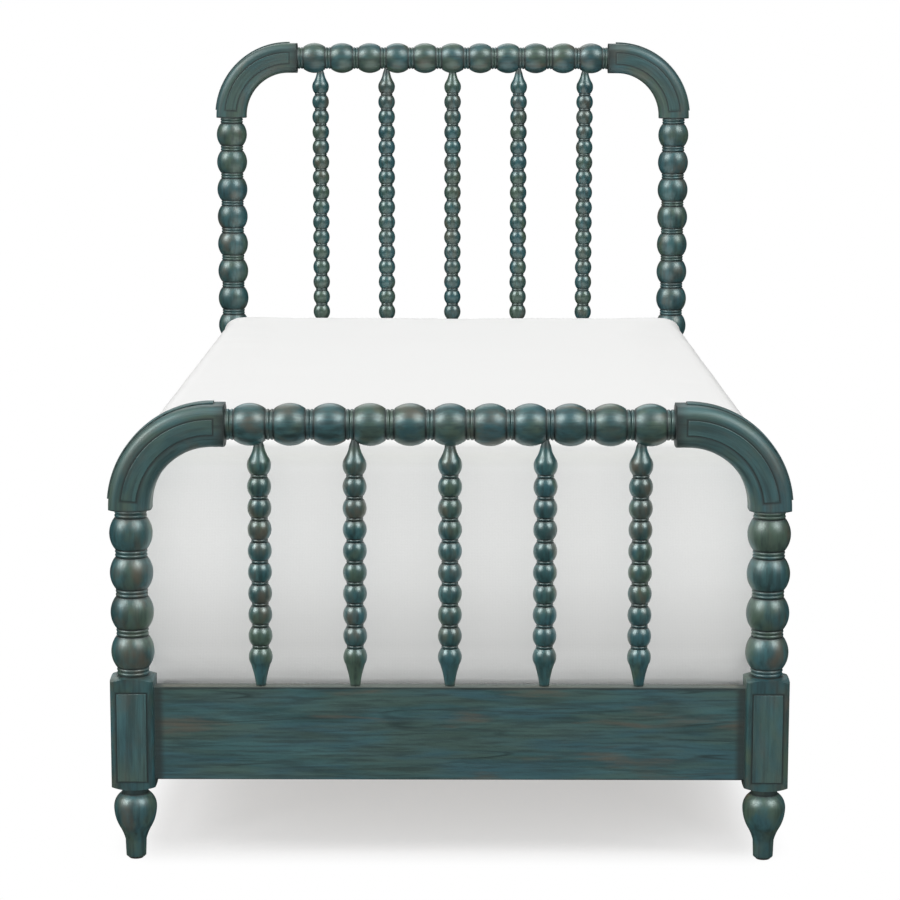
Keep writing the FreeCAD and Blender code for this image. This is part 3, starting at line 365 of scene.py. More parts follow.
paint = {
    "main": linear("1b4345"),
    "bright": linear("386568"),
    "blue": linear("285664"),
    "green": linear("465a49"),
    "deep": linear("0f2829"),
    "rubbed": linear("5a4e3e"),
    # the glaze colour also paints the shade round the raised panels
    "glaze": linear("040a0b"),
    "tintStart": 0.44,  # level of the noise where a bluish or greenish patch starts, and where it is full
    "tintFull": 0.62,
    "panelGlazeAndShadeLine": 0.0055,  # width of the glaze and painted shade round a raised panel
    "endAmount": 0.8,
    "edgeLine": 0.0045,  # the dark line along a board's upper edge: its width, how far it wanders, how dark
    "edgeWander": 0.006,
    "edgeAmount": 0.95,
    "boardFront": (-0.0116, -0.0112),  # the line stays in front of this, the board's own front face
    "topFade": 0.0008,
    "topAmount": 0.55,
    "refraction": 1.7,
    "shine": 0.9,
    "shineTint": linear("e8fbf8"),
    "coat": 0.2,
    "coatRough": 0.34,
    "grainDepth": 0.0006,
}


def newMaterial(name):
    material = bpy.data.materials.new(name)
    material.use_nodes = True
    tree = material.node_tree
    shader = tree.nodes["Principled BSDF"]
    return material, tree, shader


def attribute(tree, name, output):
    return addNode(tree, "ShaderNodeAttribute", attribute_name=name).outputs[output]


def markBoard(tree, place, look, colour, mask):
    # a board's dark ends, the dark line along its upper edge and its upper face tinted khaki
    depth, height, length = splitPlace(tree, place)
    ending = between(tree, math2(tree, "ABSOLUTE", length), *look["darkEnd"])
    mask = larger(tree, mask, times(tree, ending, paint["endAmount"]))
    if "topLine" in look:
        wander = minus(tree, noise(tree, place, {"Scale": 14.0, "Detail": 2.0}), 0.5)
        wavy = plus(tree, height, times(tree, wander, paint["edgeWander"]))
        line = between(tree, wavy, look["topLine"] - paint["edgeLine"], look["topLine"])
        front = between(tree, depth, *paint["boardFront"], 1.0, 0.0)
        mask = larger(tree, mask, times(tree, times(tree, line, front), paint["edgeAmount"]))
        above = between(tree, height, look["topFace"] - paint["topFade"], look["topFace"])
        colour = mixColour(tree, times(tree, above, paint["topAmount"]), colour, paint["rubbed"])
    return colour, mask


def paintedWood(name, look):
    # one antiqued paint, with its streaks, patches and glaze set for the piece
    material, tree, shader = newMaterial(name)
    place = attribute(tree, "grainSpace", "Vector")
    seed = attribute(tree, "seed", "Fac")

    def pattern(group, kind, seedStep, inputs):
        size = {"Across": look[f"{kind}Across"], "Along": look[f"{kind}Along"]}
        ownSeed = plus(tree, seed, seedStep) if seedStep else seed
        return useGroup(tree, group, {"Place": place, "Seed": ownSeed, **size, **inputs})

    tint = {"Start": paint["tintStart"], "Full": paint["tintFull"]}
    broad = pattern(streakGroup, "broad", 0.0, {"Waver": 0.7})
    fine = pattern(streakGroup, "fine", 0.0, {"Waver": 0.2})
    greenish = pattern(patchGroup, "tint", 7.0, tint)
    bluish = pattern(patchGroup, "tint", 13.0, tint)
    rubbed = pattern(patchGroup, "rub", 3.0, {"Start": look["rubStart"], "Full": look["rubFull"]})
    lines = useGroup(tree, lineGroup, {"Place": place, "Seed": plus(tree, seed, 5.0), "Width": look["lineWidth"]})

    colour = paint["main"]
    for share, tone in (
        (times(tree, broad, look["broadAmount"]), "bright"),
        (times(tree, bluish, look["blueAmount"]), "blue"),
        (times(tree, greenish, look["greenAmount"]), "green"),
        (between(tree, fine, 0.0, 0.75, look["fineDark"], 0.0), "deep"),
        (times(tree, rubbed, look["rubAmount"]), "rubbed"),
        (times(tree, lines, look["lineAmount"]), "deep"),
    ):
        colour = mixColour(tree, share, colour, paint[tone])
    groove = {"Groove": attribute(tree, "glaze", "Fac"), "Strength": look["glaze"], "Breakup": 0.5}
    mask = useGroup(tree, glazeGroup, {"Place": place, **groove})
    # each raised panel gets a dark line round it: glaze in the joint and painted shade
    for middle, half in look.get("panels", ()):
        panel = {"Middle": middle, "Half": half, "Outside": paint["panelGlazeAndShadeLine"]}
        mask = larger(tree, mask, useGroup(tree, panelGlazeAndShadeGroup, {"Place": place, **panel}))
    if "darkEnd" in look:
        colour, mask = markBoard(tree, place, look, colour, mask)
    colour = mixColour(tree, mask, colour, paint["glaze"])
    tree.links.new(colour, shader.inputs["Base Color"])

    rough = between(tree, fine, 0.0, 1.0, look["rough"] + 0.06, look["rough"] - 0.04, smoothly=False)
    rough = plus(tree, rough, times(tree, mask, 0.18))
    tree.links.new(rough, shader.inputs["Roughness"])
    shader.inputs["IOR"].default_value = paint["refraction"]
    shader.inputs["Specular IOR Level"].default_value = paint["shine"]
    shader.inputs["Specular Tint"].default_value = paint["shineTint"]
    shader.inputs["Coat Weight"].default_value = paint["coat"]
    shader.inputs["Coat Roughness"].default_value = paint["coatRough"]
    relief = plus(tree, times(tree, fine, 0.6), times(tree, broad, 0.4))
    addBump(tree, shader, relief, look["bump"], paint["grainDepth"])
    return material


turnedLook = {
    "broadAcross": 45.0, "broadAlong": 14.0, "broadAmount": 1.0,
    "fineAcross": 170.0, "fineAlong": 12.0, "fineDark": 0.6,
    "tintAcross": 18.0, "tintAlong": 13.0, "blueAmount": 0.45, "greenAmount": 0.9,
    "rubAcross": 28.0, "rubAlong": 14.0, "rubStart": 0.48, "rubFull": 0.72, "rubAmount": 0.75,
    "lineWidth": 0.012, "lineAmount": 0.4, "glaze": 1.0, "rough": 0.42, "bump": 0.3,
}
boardLook = {
    "broadAcross": 70.0, "broadAlong": 6.0, "broadAmount": 0.9,
    "fineAcross": 180.0, "fineAlong": 11.0, "fineDark": 0.6,
    "tintAcross": 32.0, "tintAlong": 5.0, "blueAmount": 0.6, "greenAmount": 0.45,
    "rubAcross": 42.0, "rubAlong": 5.5, "rubStart": 0.52, "rubFull": 0.7, "rubAmount": 0.75,
    "lineWidth": 0.012, "lineAmount": 0.7, "glaze": 0.9, "rough": 0.5, "bump": 0.3,
}
bentLook = {**turnedLook, "broadAlong": 6.0, "fineAlong": 7.0, "tintAlong": 7.0, "rubAmount": 0.5, "rough": 0.54}
panelPlaces = {  # middle and half size of each raised panel, in the grain's coordinates
    "block": ((0, -0.034, 0.2045), (0.023, 0.004, 0.0705)),
    "inlay": ((0, -0.033, 0.1101), (0.0115, 0.004, 0.0961)),
    "band": ((0.033, 0, 0.1101), (0.004, 0.012, 0.0961)),
}
postPaint = {
    "foot": paintedWood("footPostPaint", {**turnedLook, "panels": [panelPlaces["block"]]}),
    "head": paintedWood("headPostPaint", turnedLook),
}
railPaint = paintedWood("topRailPaint", turnedLook)
spindlePaint = paintedWood("spindlePaint", {**turnedLook, "fineAcross": 260.0, "tintAcross": 26.0, "rough": 0.34})
lowerRailPaint = paintedWood(
    "lowerRailPaint", {**boardLook, "darkEnd": (0.448, 0.46), "topLine": 0.0742, "topFace": 0.0752}
)
sideRailPaint = paintedWood("sideRailPaint", {**boardLook, "darkEnd": (0.942, 0.958)})
cornerPaint = paintedWood("cornerPaint", {**bentLook, "panels": [panelPlaces["inlay"], panelPlaces["band"]]})
trimPaint = paintedWood("trimPaint", {**bentLook, "blueAmount": 0.35, "greenAmount": 0.6, "rubAmount": 0.35})
print("finishes made")

# turned pieces

turning = {
    "merge": 0.00002,  # points closer than this become one
    "glazeReach": 0.0008,  # farther than this from the drawn outline there is no glaze
    "rowsAtOnce": 4000,
    "grooveEdge": 0.9,  # glaze where a ball meets its groove, and at the ball's rim
    "ballRim": 0.8,
    "ringPower": 3,  # a higher power keeps the glaze closer to the ends of a run
    "ballPower": 14,
    "dropPower": 8,
}


def addRun(outline, radius, height, bulge=0.0, parts=1, edge=0.0, middle=None, power=6):
    # runs on to (radius, height); a bulge bows the run outwards. The third value is the glaze,
    # edge at both ends of the run and middle between them
    startRadius, startHeight = outline[-1][:2]
    run, rise = radius - startRadius, height - startHeight
    chord = math.hypot(run, rise)
    middle = edge if middle is None else middle
    for part in range(1, parts + 1):
        share = part / parts
        along, bow = chord * share, 0.0
        if bulge:
            bend = abs(bulge) / 2 + chord * chord / (8 * abs(bulge))
            half = math.asin(min(1.0, chord / 2 / bend))
            swing = half * (2 * share - 1)
            along = chord / 2 + bend * math.sin(swing)
            bow = math.copysign(bend * math.cos(swing) - (bend - abs(bulge)), bulge)
        glaze = middle + (edge - middle) * abs(2 * share - 1) ** power
        outline.append((
            startRadius + (run * along + rise * bow) / chord,
            startHeight + (rise * along - run * bow) / chord,
            glaze,
        ))


def swell(depth, length):
    # bulge of the arc that gains depth over length and runs straight on at its widest end
    chordSquared = depth * depth + length * length
    bend = chordSquared / (2 * depth)
    return bend - math.sqrt(bend * bend - chordSquared / 4)


def addRing(outline, size, radius, height):
    crest, power = size["crest"], turning["ringPower"]
    addRun(outline, radius, height, size["ringBulge"], size["ringParts"], edge=1, middle=crest, power=power)


def addNeck(outline, size):
    low = outline[-1][1]
    lip = size["neck"] * size["lip"]
    addRun(outline, size["groove"], low, edge=1)
    addRun(outline, size["groove"], low + lip, edge=1)
    if "vee" in size:
        addRing(outline, size, size["vee"], low + size["neck"] / 2)
    addRing(outline, size, size["groove"], low + size["neck"] - lip)
    addRun(outline, size["groove"], low + size["neck"], edge=1)


def addBalls(outline, size, count, high):
    # a neck and a ball again and again, and one more neck, up to high
    pitch = (high - size["neck"] - outline[-1][1]) / count
    bulge = size["ball"] - size["ballEnd"]
    rim, power = turning["ballRim"], turning["ballPower"]
    for ball in range(count):
        addNeck(outline, size)
        low = outline[-1][1]
        top = low + pitch - size["neck"]
        addRun(outline, size["ballEnd"], low, edge=turning["grooveEdge"])
        addRun(outline, size["ballEnd"], top, bulge, size["ballParts"], edge=rim, middle=0.0, power=power)
    addNeck(outline, size)


def turned(name, outline, axis, steps):
    # draws the outline point by point and spins it
    spinAxis = (0, 0, 1) if axis == "Z" else (1, 0, 0)

    def place(point):
        return Vector((point[0], 0, point[1])) if axis == "Z" else Vector((point[1], 0, point[0]))

    bpy.ops.object.select_all(action="DESELECT")
    bpy.ops.mesh.primitive_plane_add(size=0.01, location=(0, 0, 0))
    piece = nameNew(name)
    edit(piece)
    bpy.ops.mesh.merge(type="CENTER")
    bpy.ops.mesh.select_mode(type="VERT")
    bpy.ops.mesh.select_all(action="SELECT")
    bpy.ops.transform.translate(value=place(outline[0]))
    for before, after in zip(outline, outline[1:]):
        bpy.ops.mesh.extrude_vertices_move(TRANSFORM_OT_translate={"value": place(after) - place(before)})
    bpy.ops.mesh.select_all(action="SELECT")
    bpy.ops.mesh.spin(steps=steps, angle=2 * math.pi, center=(0, 0, 0), axis=spinAxis)
    bpy.ops.mesh.select_all(action="SELECT")
    bpy.ops.mesh.remove_doubles(threshold=turning["merge"])
    bpy.ops.mesh.normals_make_consistent(inside=False)
    leave()
    return piece


def glazeFromOutline(piece, outline, axis):
    # each point takes the glaze of the nearest point of the drawn outline
    at = points(piece)
    if axis == "Z":
        radius, height = np.hypot(at[:, 0], at[:, 1]), at[:, 2]
    else:
        radius, height = np.hypot(at[:, 1], at[:, 2]), at[:, 0]
    drawn = np.array(outline)
    glaze = np.zeros(len(at))
    for start in range(0, len(at), turning["rowsAtOnce"]):
        part = slice(start, start + turning["rowsAtOnce"])
        apart = np.hypot(radius[part, None] - drawn[None, :, 0], height[part, None] - drawn[None, :, 1])
        nearest = apart.argmin(1)
        glaze[part] = np.where(apart.min(1) < turning["glazeReach"], drawn[nearest, 2], 0.0)
    storeValues(piece, "glaze", glaze)


post = {
    "steps": 56,
    "squareSteps": 24,
    "blockHalf": 0.034,
    "blockRound": 0.008,
    "blockLow": 0.118,
    "blockSlack": 0.0001,
    "blockTop": {"foot": 0.299, "head": 0.290},
    "shoulder": 0.027,
    "shoulderReach": 0.04896,
    "shoulderDrop": 0.008,
    "shoulderBulge": 0.002,
    "ball": 0.034,
    "ballEnd": 0.0255,
    "ballParts": 16,
    "neck": 0.0133,
    "groove": 0.024,
    "vee": 0.02225,
    "lip": 1 / 12,
    "ringBulge": 0.0023,
    "ringParts": 8,
    "crest": 0.15,
    "count": {"foot": 4, "head": 13},
    "belowAxis": 0.134,
    "seed": {"foot": 1, "head": 5},
    "seedStep": 2.3,
    "panelSeed": 70,
    "panelRoot": 0.0005,
}
foot = {
    "floor": 0.003,
    "pegEdge": 0.0015,
    "peg": (0.01575, 0.0045),
    "pegTop": (0.01675, 0.031),
    "hollow": 0.0009,
    "vaseLow": (0.026, 0.053),
    "vase": (0.034, 0.085),
    "vaseTop": (0.023, 0.107),
    "neck": 0.021,
}


def postOutline(end):
    low, top = post["blockLow"], post["blockTop"][end]
    outline = [(0, foot["floor"], 0.2)]
    addRun(outline, foot["peg"][0] - foot["pegEdge"], foot["floor"], edge=0.3)
    addRun(outline, *foot["peg"], edge=0.3)
    addRun(outline, *foot["pegTop"], parts=6, edge=0.1)
    addRun(outline, *foot["vaseLow"], -foot["hollow"], 6, edge=0.1)
    for widest in ("vase", "vaseTop"):
        place = foot[widest]
        depth, length = abs(place[0] - outline[-1][0]), place[1] - outline[-1][1]
        addRun(outline, *place, swell(depth, length), 10, edge=0.0)
    outline[-1] = (*outline[-1][:2], 0.7)
    addRun(outline, foot["neck"], foot["vaseTop"][1], edge=1)
    addRun(outline, foot["neck"], low, parts=3, edge=1, middle=0.7)
    addRun(outline, post["shoulder"], low, edge=1)
    addRun(outline, post["shoulderReach"], low + post["shoulderDrop"], post["shoulderBulge"], 12, edge=0.2)
    addRun(outline, post["shoulderReach"], top - post["shoulderDrop"])
    addRun(outline, post["shoulder"], top, post["shoulderBulge"], 12, edge=0.2)
    outline[-1] = (*outline[-1][:2], 0.8)
    addBalls(outline, post, post["count"][end], bed["topAxis"][end] - post["belowAxis"])
    addRun(outline, 0, outline[-1][1], edge=1)
    return outline


def squareBlock(piece, low, high):
    # planes the turned blank down to a square block with rounded upright edges
    inner = post["blockHalf"] - post["blockRound"]
    edit(piece)
    for step in range(post["squareSteps"]):
        way = 2 * math.pi * step / post["squareSteps"]
        facing = Vector((math.cos(way), math.sin(way), 0))
        reach = inner * (abs(facing.x) + abs(facing.y)) + post["blockRound"]
        selectFaces(piece, lambda middle: low < middle.z < high)
        bpy.ops.mesh.bisect(plane_co=facing * reach, plane_no=facing, use_fill=True, clear_outer=True)
    bpy.ops.mesh.select_all(action="SELECT")
    bpy.ops.mesh.remove_doubles(threshold=turning["merge"])
    leave()


for end in ends:
    outline = postOutline(end)
    blank = turned(f"{end}PostLeft", outline, "Z", post["steps"])
    squareBlock(blank, post["blockLow"] - post["blockSlack"], post["blockTop"][end] + post["blockSlack"])
    glazeFromOutline(blank, outline, "Z")
    smooth(blank)
    for side, way in sides.items():
        middle = (bed["postX"] * way, bed["boardY"][end], 0)
        if side == "left":
            piece = blank
            shift(piece, middle)
        else:
            piece = copyOf(blank, f"{end}PostRight", (2 * bed["postX"], 0, 0))
        straightGrain(piece, "Z", middle, post["seed"][end] + post["seedStep"] * way)
        finishPiece(piece, f"{end}_post_{side}", postPaint[end])
print("posts turned")

topRail = {
    "steps": 56,
    "reach": 0.35,
    "count": 11,
    "ball": 0.0335,
    "ballEnd": 0.0252,
    "ballParts": 16,
    "neck": 0.014,
    "groove": 0.0233,
    "vee": 0.0208,
    "lip": 1 / 12,
    "ringBulge": 0.0022,
    "ringParts": 8,
    "crest": 0.15,
    "seed": {"foot": 11.5, "head": 17.0},
}
outline = [(0, -topRail["reach"], 1)]
addBalls(outline, topRail, topRail["count"], topRail["reach"])
addRun(outline, 0, topRail["reach"], edge=1)
firstRail = turned("footTopRail", outline, "X", topRail["steps"])
glazeFromOutline(firstRail, outline, "X")
smooth(firstRail, weighted=False)
headRail = copyOf(firstRail, "headTopRail", (0, bed["boardY"]["head"], bed["topAxis"]["head"]))
shift(firstRail, (0, bed["boardY"]["foot"], bed["topAxis"]["foot"]))
for end, piece in (("foot", firstRail), ("head", headRail)):
    straightGrain(piece, "X", (0, bed["boardY"][end], bed["topAxis"][end]), topRail["seed"][end])
    finishPiece(piece, f"{end}_top_rail", railPaint)
print("top rails turned")

spindle = {
    "steps": 32,
    "count": 5,
    "spacing": 0.1492,
    "balls": {"foot": 8, "head": 24},
    "ball": 0.0189,
    "ballEnd": 0.01375,
    "ballParts": 10,
    "neck": 0.0055,
    "groove": 0.0126,
    "lip": 1 / 8,
    "ringBulge": 0.0008,
    "ringParts": 5,
    "crest": 0.4,
    "lowReach": 0.046,
    "topReach": 0.064,
    "dropEnd": (0.0157, 0.011),
    "hollow": 0.001,
    "lowThin": 0.0078,
    "topThin": 0.0085,
    "topDepth": 0.034,
    "pin": (0.005, 0.024),
    "seed": {"foot": 20, "head": 40},
    "seedStep": 1.7,
}


def spindleOutline(end):
    low = bed["railTop"] + spindle["lowReach"]
    axis = bed["topAxis"][end]
    high = axis - spindle["topReach"]
    pitch = (high - low) / (spindle["balls"][end] + 1)
    half = (pitch - spindle["neck"]) / 2
    shoulder, length = spindle["dropEnd"]
    dropSwell = swell(spindle["ball"] - shoulder, length)
    ballSwell = swell(spindle["ball"] - spindle["ballEnd"], half)
    hollow, power = -spindle["hollow"], turning["dropPower"]
    outline = [(0, bed["railTop"], 1)]
    addRun(outline, spindle["lowThin"], bed["railTop"], edge=1)
    addRun(outline, shoulder, low - length, hollow, 8, edge=0.6, middle=0.0, power=power)
    outline[-1] = (*outline[-1][:2], 0)
    addRun(outline, spindle["ball"], low, dropSwell, 5)
    addRun(outline, spindle["ballEnd"], low + half, ballSwell, 6)
    addBalls(outline, spindle, spindle["balls"][end], high - half)
    addRun(outline, spindle["ballEnd"], outline[-1][1], edge=turning["grooveEdge"])
    addRun(outline, spindle["ball"], high, ballSwell, 6)
    addRun(outline, shoulder, high + length, dropSwell, 5)
    addRun(outline, spindle["topThin"], axis - spindle["topDepth"], hollow, 8, edge=0.7, middle=0.0, power=power)
    addRun(outline, spindle["pin"][0], axis - spindle["pin"][1], edge=1)
    addRun(outline, 0, outline[-1][1], edge=1)
    return outline


for end in ends:
    outline = spindleOutline(end)
    first = turned(f"{end}Spindle1", outline, "Z", spindle["steps"])
    glazeFromOutline(first, outline, "Z")
    smooth(first, weighted=False)
    for number in range(1, spindle["count"] + 1):
        middle = ((number - 3) * spindle["spacing"], bed["boardY"][end], 0)
        if number > 1:
            piece = copyOf(first, f"{end}Spindle{number}", ((number - 1) * spindle["spacing"], 0, 0))
        else:
            piece = first
            shift(piece, middle)
        straightGrain(piece, "Z", middle, spindle["seed"][end] + spindle["seedStep"] * number)
        finishPiece(piece, f"{end}_spindle_{number}", spindlePaint)
print("spindles turned")

# curved corners with their bands and inlays

corner = {
    "bend": 0.13,  # radius of the corner's middle line
    "cuts": 18,
    "halfway": 0.1101,  # half the length along that line
    "darkEnd": 0.0035,
    "trimRoot": 0.0335,  # glaze lies on bands and inlays below this, where they meet the corner
    "seed": {"foot": 50, "head": 59},
    "seedStep": 3.1,
}


def mergedCopy(node, name):
    source = frame["nodes"][node]
    piece = bpy.data.objects.new(name, source.data.copy())
    bpy.context.scene.collection.objects.link(piece)
    edit(piece)
    bpy.ops.mesh.remove_doubles(threshold=turning["merge"])
    leave()
    return piece


def cutAlongBend(piece, end, way):
    # radial cuts, so that the grain follows the curve evenly
    centre = Vector(((bed["postX"] - corner["bend"]) * way, 0, bed["topAxis"][end] - corner["bend"]))
    edit(piece)
    for cut in range(corner["cuts"] + 1):
        turn = math.pi / 2 * cut / corner["cuts"]
        bpy.ops.mesh.select_all(action="SELECT")
        bpy.ops.mesh.bisect(plane_co=centre, plane_no=(-math.sin(turn) * way, 0, math.cos(turn)))
    leave()


def bentGrain(piece, end, way, seed):
    # along the curve of the corner: up the post, round the bend, along the rail
    at = points(piece)
    centreX = (bed["postX"] - corner["bend"]) * way
    centreZ = bed["topAxis"][end] - corner["bend"]
    out = (at[:, 0] - centreX) * way
    up = at[:, 2] - centreZ
    turn = np.arctan2(np.maximum(up, 0), np.maximum(out, 1e-9))
    across = np.hypot(np.maximum(out, 0), np.maximum(up, 0)) - corner["bend"]
    across = np.where(up < 0, out - corner["bend"], np.where(out < 0, up - corner["bend"], across))
    along = np.where(up < 0, up, np.where(out < 0, corner["bend"] * math.pi / 2 - out, turn * corner["bend"]))
    space = np.stack([across, at[:, 1] - bed["boardY"][end], along], 1)
    storeValues(piece, "grainSpace", space)
    storeValues(piece, "seed", np.full(len(at), float(seed)))
    return space


for end in ends:
    for side, way in sides.items():
        label = side.capitalize()
        seed = corner["seed"][end] + corner["seedStep"] * way
        for kind, material in (("corner", cornerPaint), ("band", trimPaint), ("inlay", trimPaint)):
            piece = mergedCopy(f"{end}_{kind}_{side}", f"{end}{kind.capitalize()}{label}")
            cutAlongBend(piece, end, way)
            space = bentGrain(piece, end, way, seed)
            if kind == "corner":
                ending = np.abs(space[:, 2] - corner["halfway"]) - corner["halfway"]
                glaze = np.clip(ending / corner["darkEnd"], 0, 1)
            else:
                glaze = (space[:, 0] if kind == "band" else -space[:, 1]) < corner["trimRoot"]
            storeValues(piece, "glaze", glaze)
            smooth(piece)
            finishPiece(piece, f"{end}_{kind}_{side}", material)
print("corners placed")

for side, way in sides.items():
    piece = mergedCopy(f"foot_block_panel_{side}", f"footBlockPanel{side.capitalize()}")
    straightGrain(piece, "Z", (bed["postX"] * way, bed["boardY"]["foot"], 0), post["panelSeed"] + way)
    root = bed["boardY"]["foot"] - post["blockHalf"] - post["panelRoot"]
    storeValues(piece, "glaze", points(piece)[:, 1] > root)
    smooth(piece)
    finishPiece(piece, f"foot_block_panel_{side}", trimPaint)

# flat rails

flatRail = {
    "thickness": 0.024,
    "edge": 0.002,
    "edgeSegments": 3,
    "halfLength": {"X": 0.466, "Y": 0.961},
    "sideX": 0.514,
    "sideY": 0.0015,
    "cuts": 48,
    "rows": (-0.05, -0.025, 0.0, 0.025, 0.05),
    "seed": {"foot": 80, "head": 84, "side": 90},
}


def flatBoard(name, along, middle):
    # a planed board with rounded long edges, cut into short faces along and across
    half = flatRail["halfLength"][along]
    across = flatRail["thickness"] / 2
    halfHigh = (bed["railTop"] - bed["railBottom"]) / 2
    size = (half, across, halfHigh) if along == "X" else (across, half, halfHigh)
    bpy.ops.object.select_all(action="DESELECT")
    bpy.ops.mesh.primitive_cube_add(size=2, location=(0, 0, 0))
    piece = nameNew(name)
    edit(piece)
    bpy.ops.transform.resize(value=size)
    index = "XYZ".index(along)
    selectEdges(piece, lambda a, b: abs(abs(a[index] - b[index]) - 2 * half) < 1e-5)
    bpy.ops.mesh.bevel(offset=flatRail["edge"], offset_type="OFFSET", segments=flatRail["edgeSegments"], affect="EDGES")
    facing = Vector((1, 0, 0)) if along == "X" else Vector((0, 1, 0))
    for cut in range(1, flatRail["cuts"]):
        bpy.ops.mesh.select_all(action="SELECT")
        bpy.ops.mesh.bisect(plane_co=facing * half * (2 * cut / flatRail["cuts"] - 1), plane_no=facing)
    for height in flatRail["rows"]:
        bpy.ops.mesh.select_all(action="SELECT")
        bpy.ops.mesh.bisect(plane_co=(0, 0, height), plane_no=(0, 0, 1))
    leave()
    shift(piece, middle)
    return piece


def finishBoard(piece, along, middle, seed, node, material):
    straightGrain(piece, along, middle, seed)
    storeValues(piece, "glaze", np.zeros(len(piece.data.vertices)))
    smooth(piece)
    finishPiece(piece, node, material)


railMiddle = (bed["railTop"] + bed["railBottom"]) / 2
for end in ends:
    middle = (0, bed["boardY"][end], railMiddle)
    piece = flatBoard(f"{end}LowerRail", "X", middle)
    finishBoard(piece, "X", middle, flatRail["seed"][end], f"{end}_lower_rail", lowerRailPaint)
for side, way in sides.items():
    middle = (flatRail["sideX"] * way, flatRail["sideY"], railMiddle)
    piece = flatBoard(f"sideRail{side.capitalize()}", "Y", middle)
    finishBoard(piece, "Y", middle, flatRail["seed"]["side"] + way, f"side_rail_{side}", sideRailPaint)
print("flat rails planed")

# slats, ledges, hardware and glides keep their CAD shapes


def plainWood():
    material, tree, shader = newMaterial("pineSlats")
    order = splitPlace(tree, objectPlace(tree))
    # a slat's grain runs along X, so X becomes the third coordinate
    turnedPlace = addNode(tree, "ShaderNodeCombineXYZ", {0: order[1], 1: order[2], 2: order[0]}).outputs[0]
    fine = useGroup(tree, streakGroup, {"Place": turnedPlace, "Across": 120.0, "Along": 5.0})
    broad = useGroup(tree, streakGroup, {"Place": turnedPlace, "Across": 30.0, "Along": 1.5, "Seed": 4.0})
    colour = mixColour(tree, broad, linear("c9a877"), linear("dcc094"))
    colour = mixColour(tree, times(tree, fine, 0.35), colour, linear("ab8452"))
    tree.links.new(colour, shader.inputs["Base Color"])
    tree.links.new(between(tree, fine, 0, 1, 0.55, 0.7), shader.inputs["Roughness"])
    addBump(tree, shader, fine, 0.3, 0.0005)
    return material


def zincSteel():
    material, tree, shader = newMaterial("zincSteel")
    spangle = noise(tree, objectPlace(tree), {"Scale": 240.0, "Detail": 4.0})
    colour = mixColour(tree, spangle, linear("8f9396"), linear("c3c6c8"))
    tree.links.new(colour, shader.inputs["Base Color"])
    tree.links.new(between(tree, spangle, 0.3, 0.7, 0.28, 0.45), shader.inputs["Roughness"])
    shader.inputs["Metallic"].default_value = 1.0
    return material


def glidePlastic():
    material, tree, shader = newMaterial("glidePlastic")
    grainy = noise(tree, objectPlace(tree), {"Scale": 900.0, "Detail": 2.0})
    colour = mixColour(tree, grainy, linear("2a2622"), linear("38332d"))
    tree.links.new(colour, shader.inputs["Base Color"])
    tree.links.new(between(tree, grainy, 0.3, 0.7, 0.5, 0.65), shader.inputs["Roughness"])
    return material


looks = {"plain_wood": plainWood(), "zinc_steel": zincSteel(), "glide_plastic": glidePlastic()}
keptNodes = {
    "plain_wood": [f"slat_{number:02d}" for number in range(1, 15)] + ["slat_ledge_left", "slat_ledge_right"],
    "zinc_steel": ["rail_bolts", "half_moon_washers", "rail_nuts", "ledge_screws", "slat_screws"],
    "glide_plastic": ["floor_glides"],
}
for slotName, names in keptNodes.items():
    for name in names:
        node = frame["nodes"][name]
        node.data.materials.clear()
        node.data.materials.append(looks[slotName])
print("hidden parts finished")

# mattress

mattress = {
    "half": (0.492, 0.948, 0.196),
    "middle": (0, 0.0015, 0.4648),
    "rounding": 0.03,
    "roundingSegments": 5,
    "voxel": 0.018,
    "frames": 20,
    "mostSwell": 0.008,
    "cloth": {
        "quality": 4,
        "mass": 0.4,
        "tension_stiffness": 60,
        "compression_stiffness": 60,
        "bending_stiffness": 8,
        "use_pressure": True,
        "uniform_pressure_force": 4.0,
    },
    "hem": 0.3,  # below this height the rounding is pressed flatter
    "floor": 0.2643,  # the lowest that the cover may reach, on the slats
    "besideRails": 0.4985,  # how far out it may reach between the side rails, and above them
    "overRails": 0.5285,
    "bulge": 1.056,  # how much wider it is where it swells out over the side rails
    "bulgeFrom": 0.298,
    "bulgeFull": 0.36,
    "endReach": 0.9565,
    "threads": 2600.0,
    "fade": [  # painted shade on the cover by height: height in the mattress at rest, colour of the cover, darker a little above the lower rail and just below the top edge, where shade falls
        (0.27, "f0f0ef"), (0.295, "ebebea"), (0.311, "dddddc"), (0.335, "d5d5d4"), (0.376, "d9d9d8"), (0.441, "e5e5e4"),
        (0.5, "eaeae9"), (0.62, "ebebea"), (0.641, "ddddda"), (0.653, "d8d8d7"), (0.659, "eeeeed"),
    ],
}


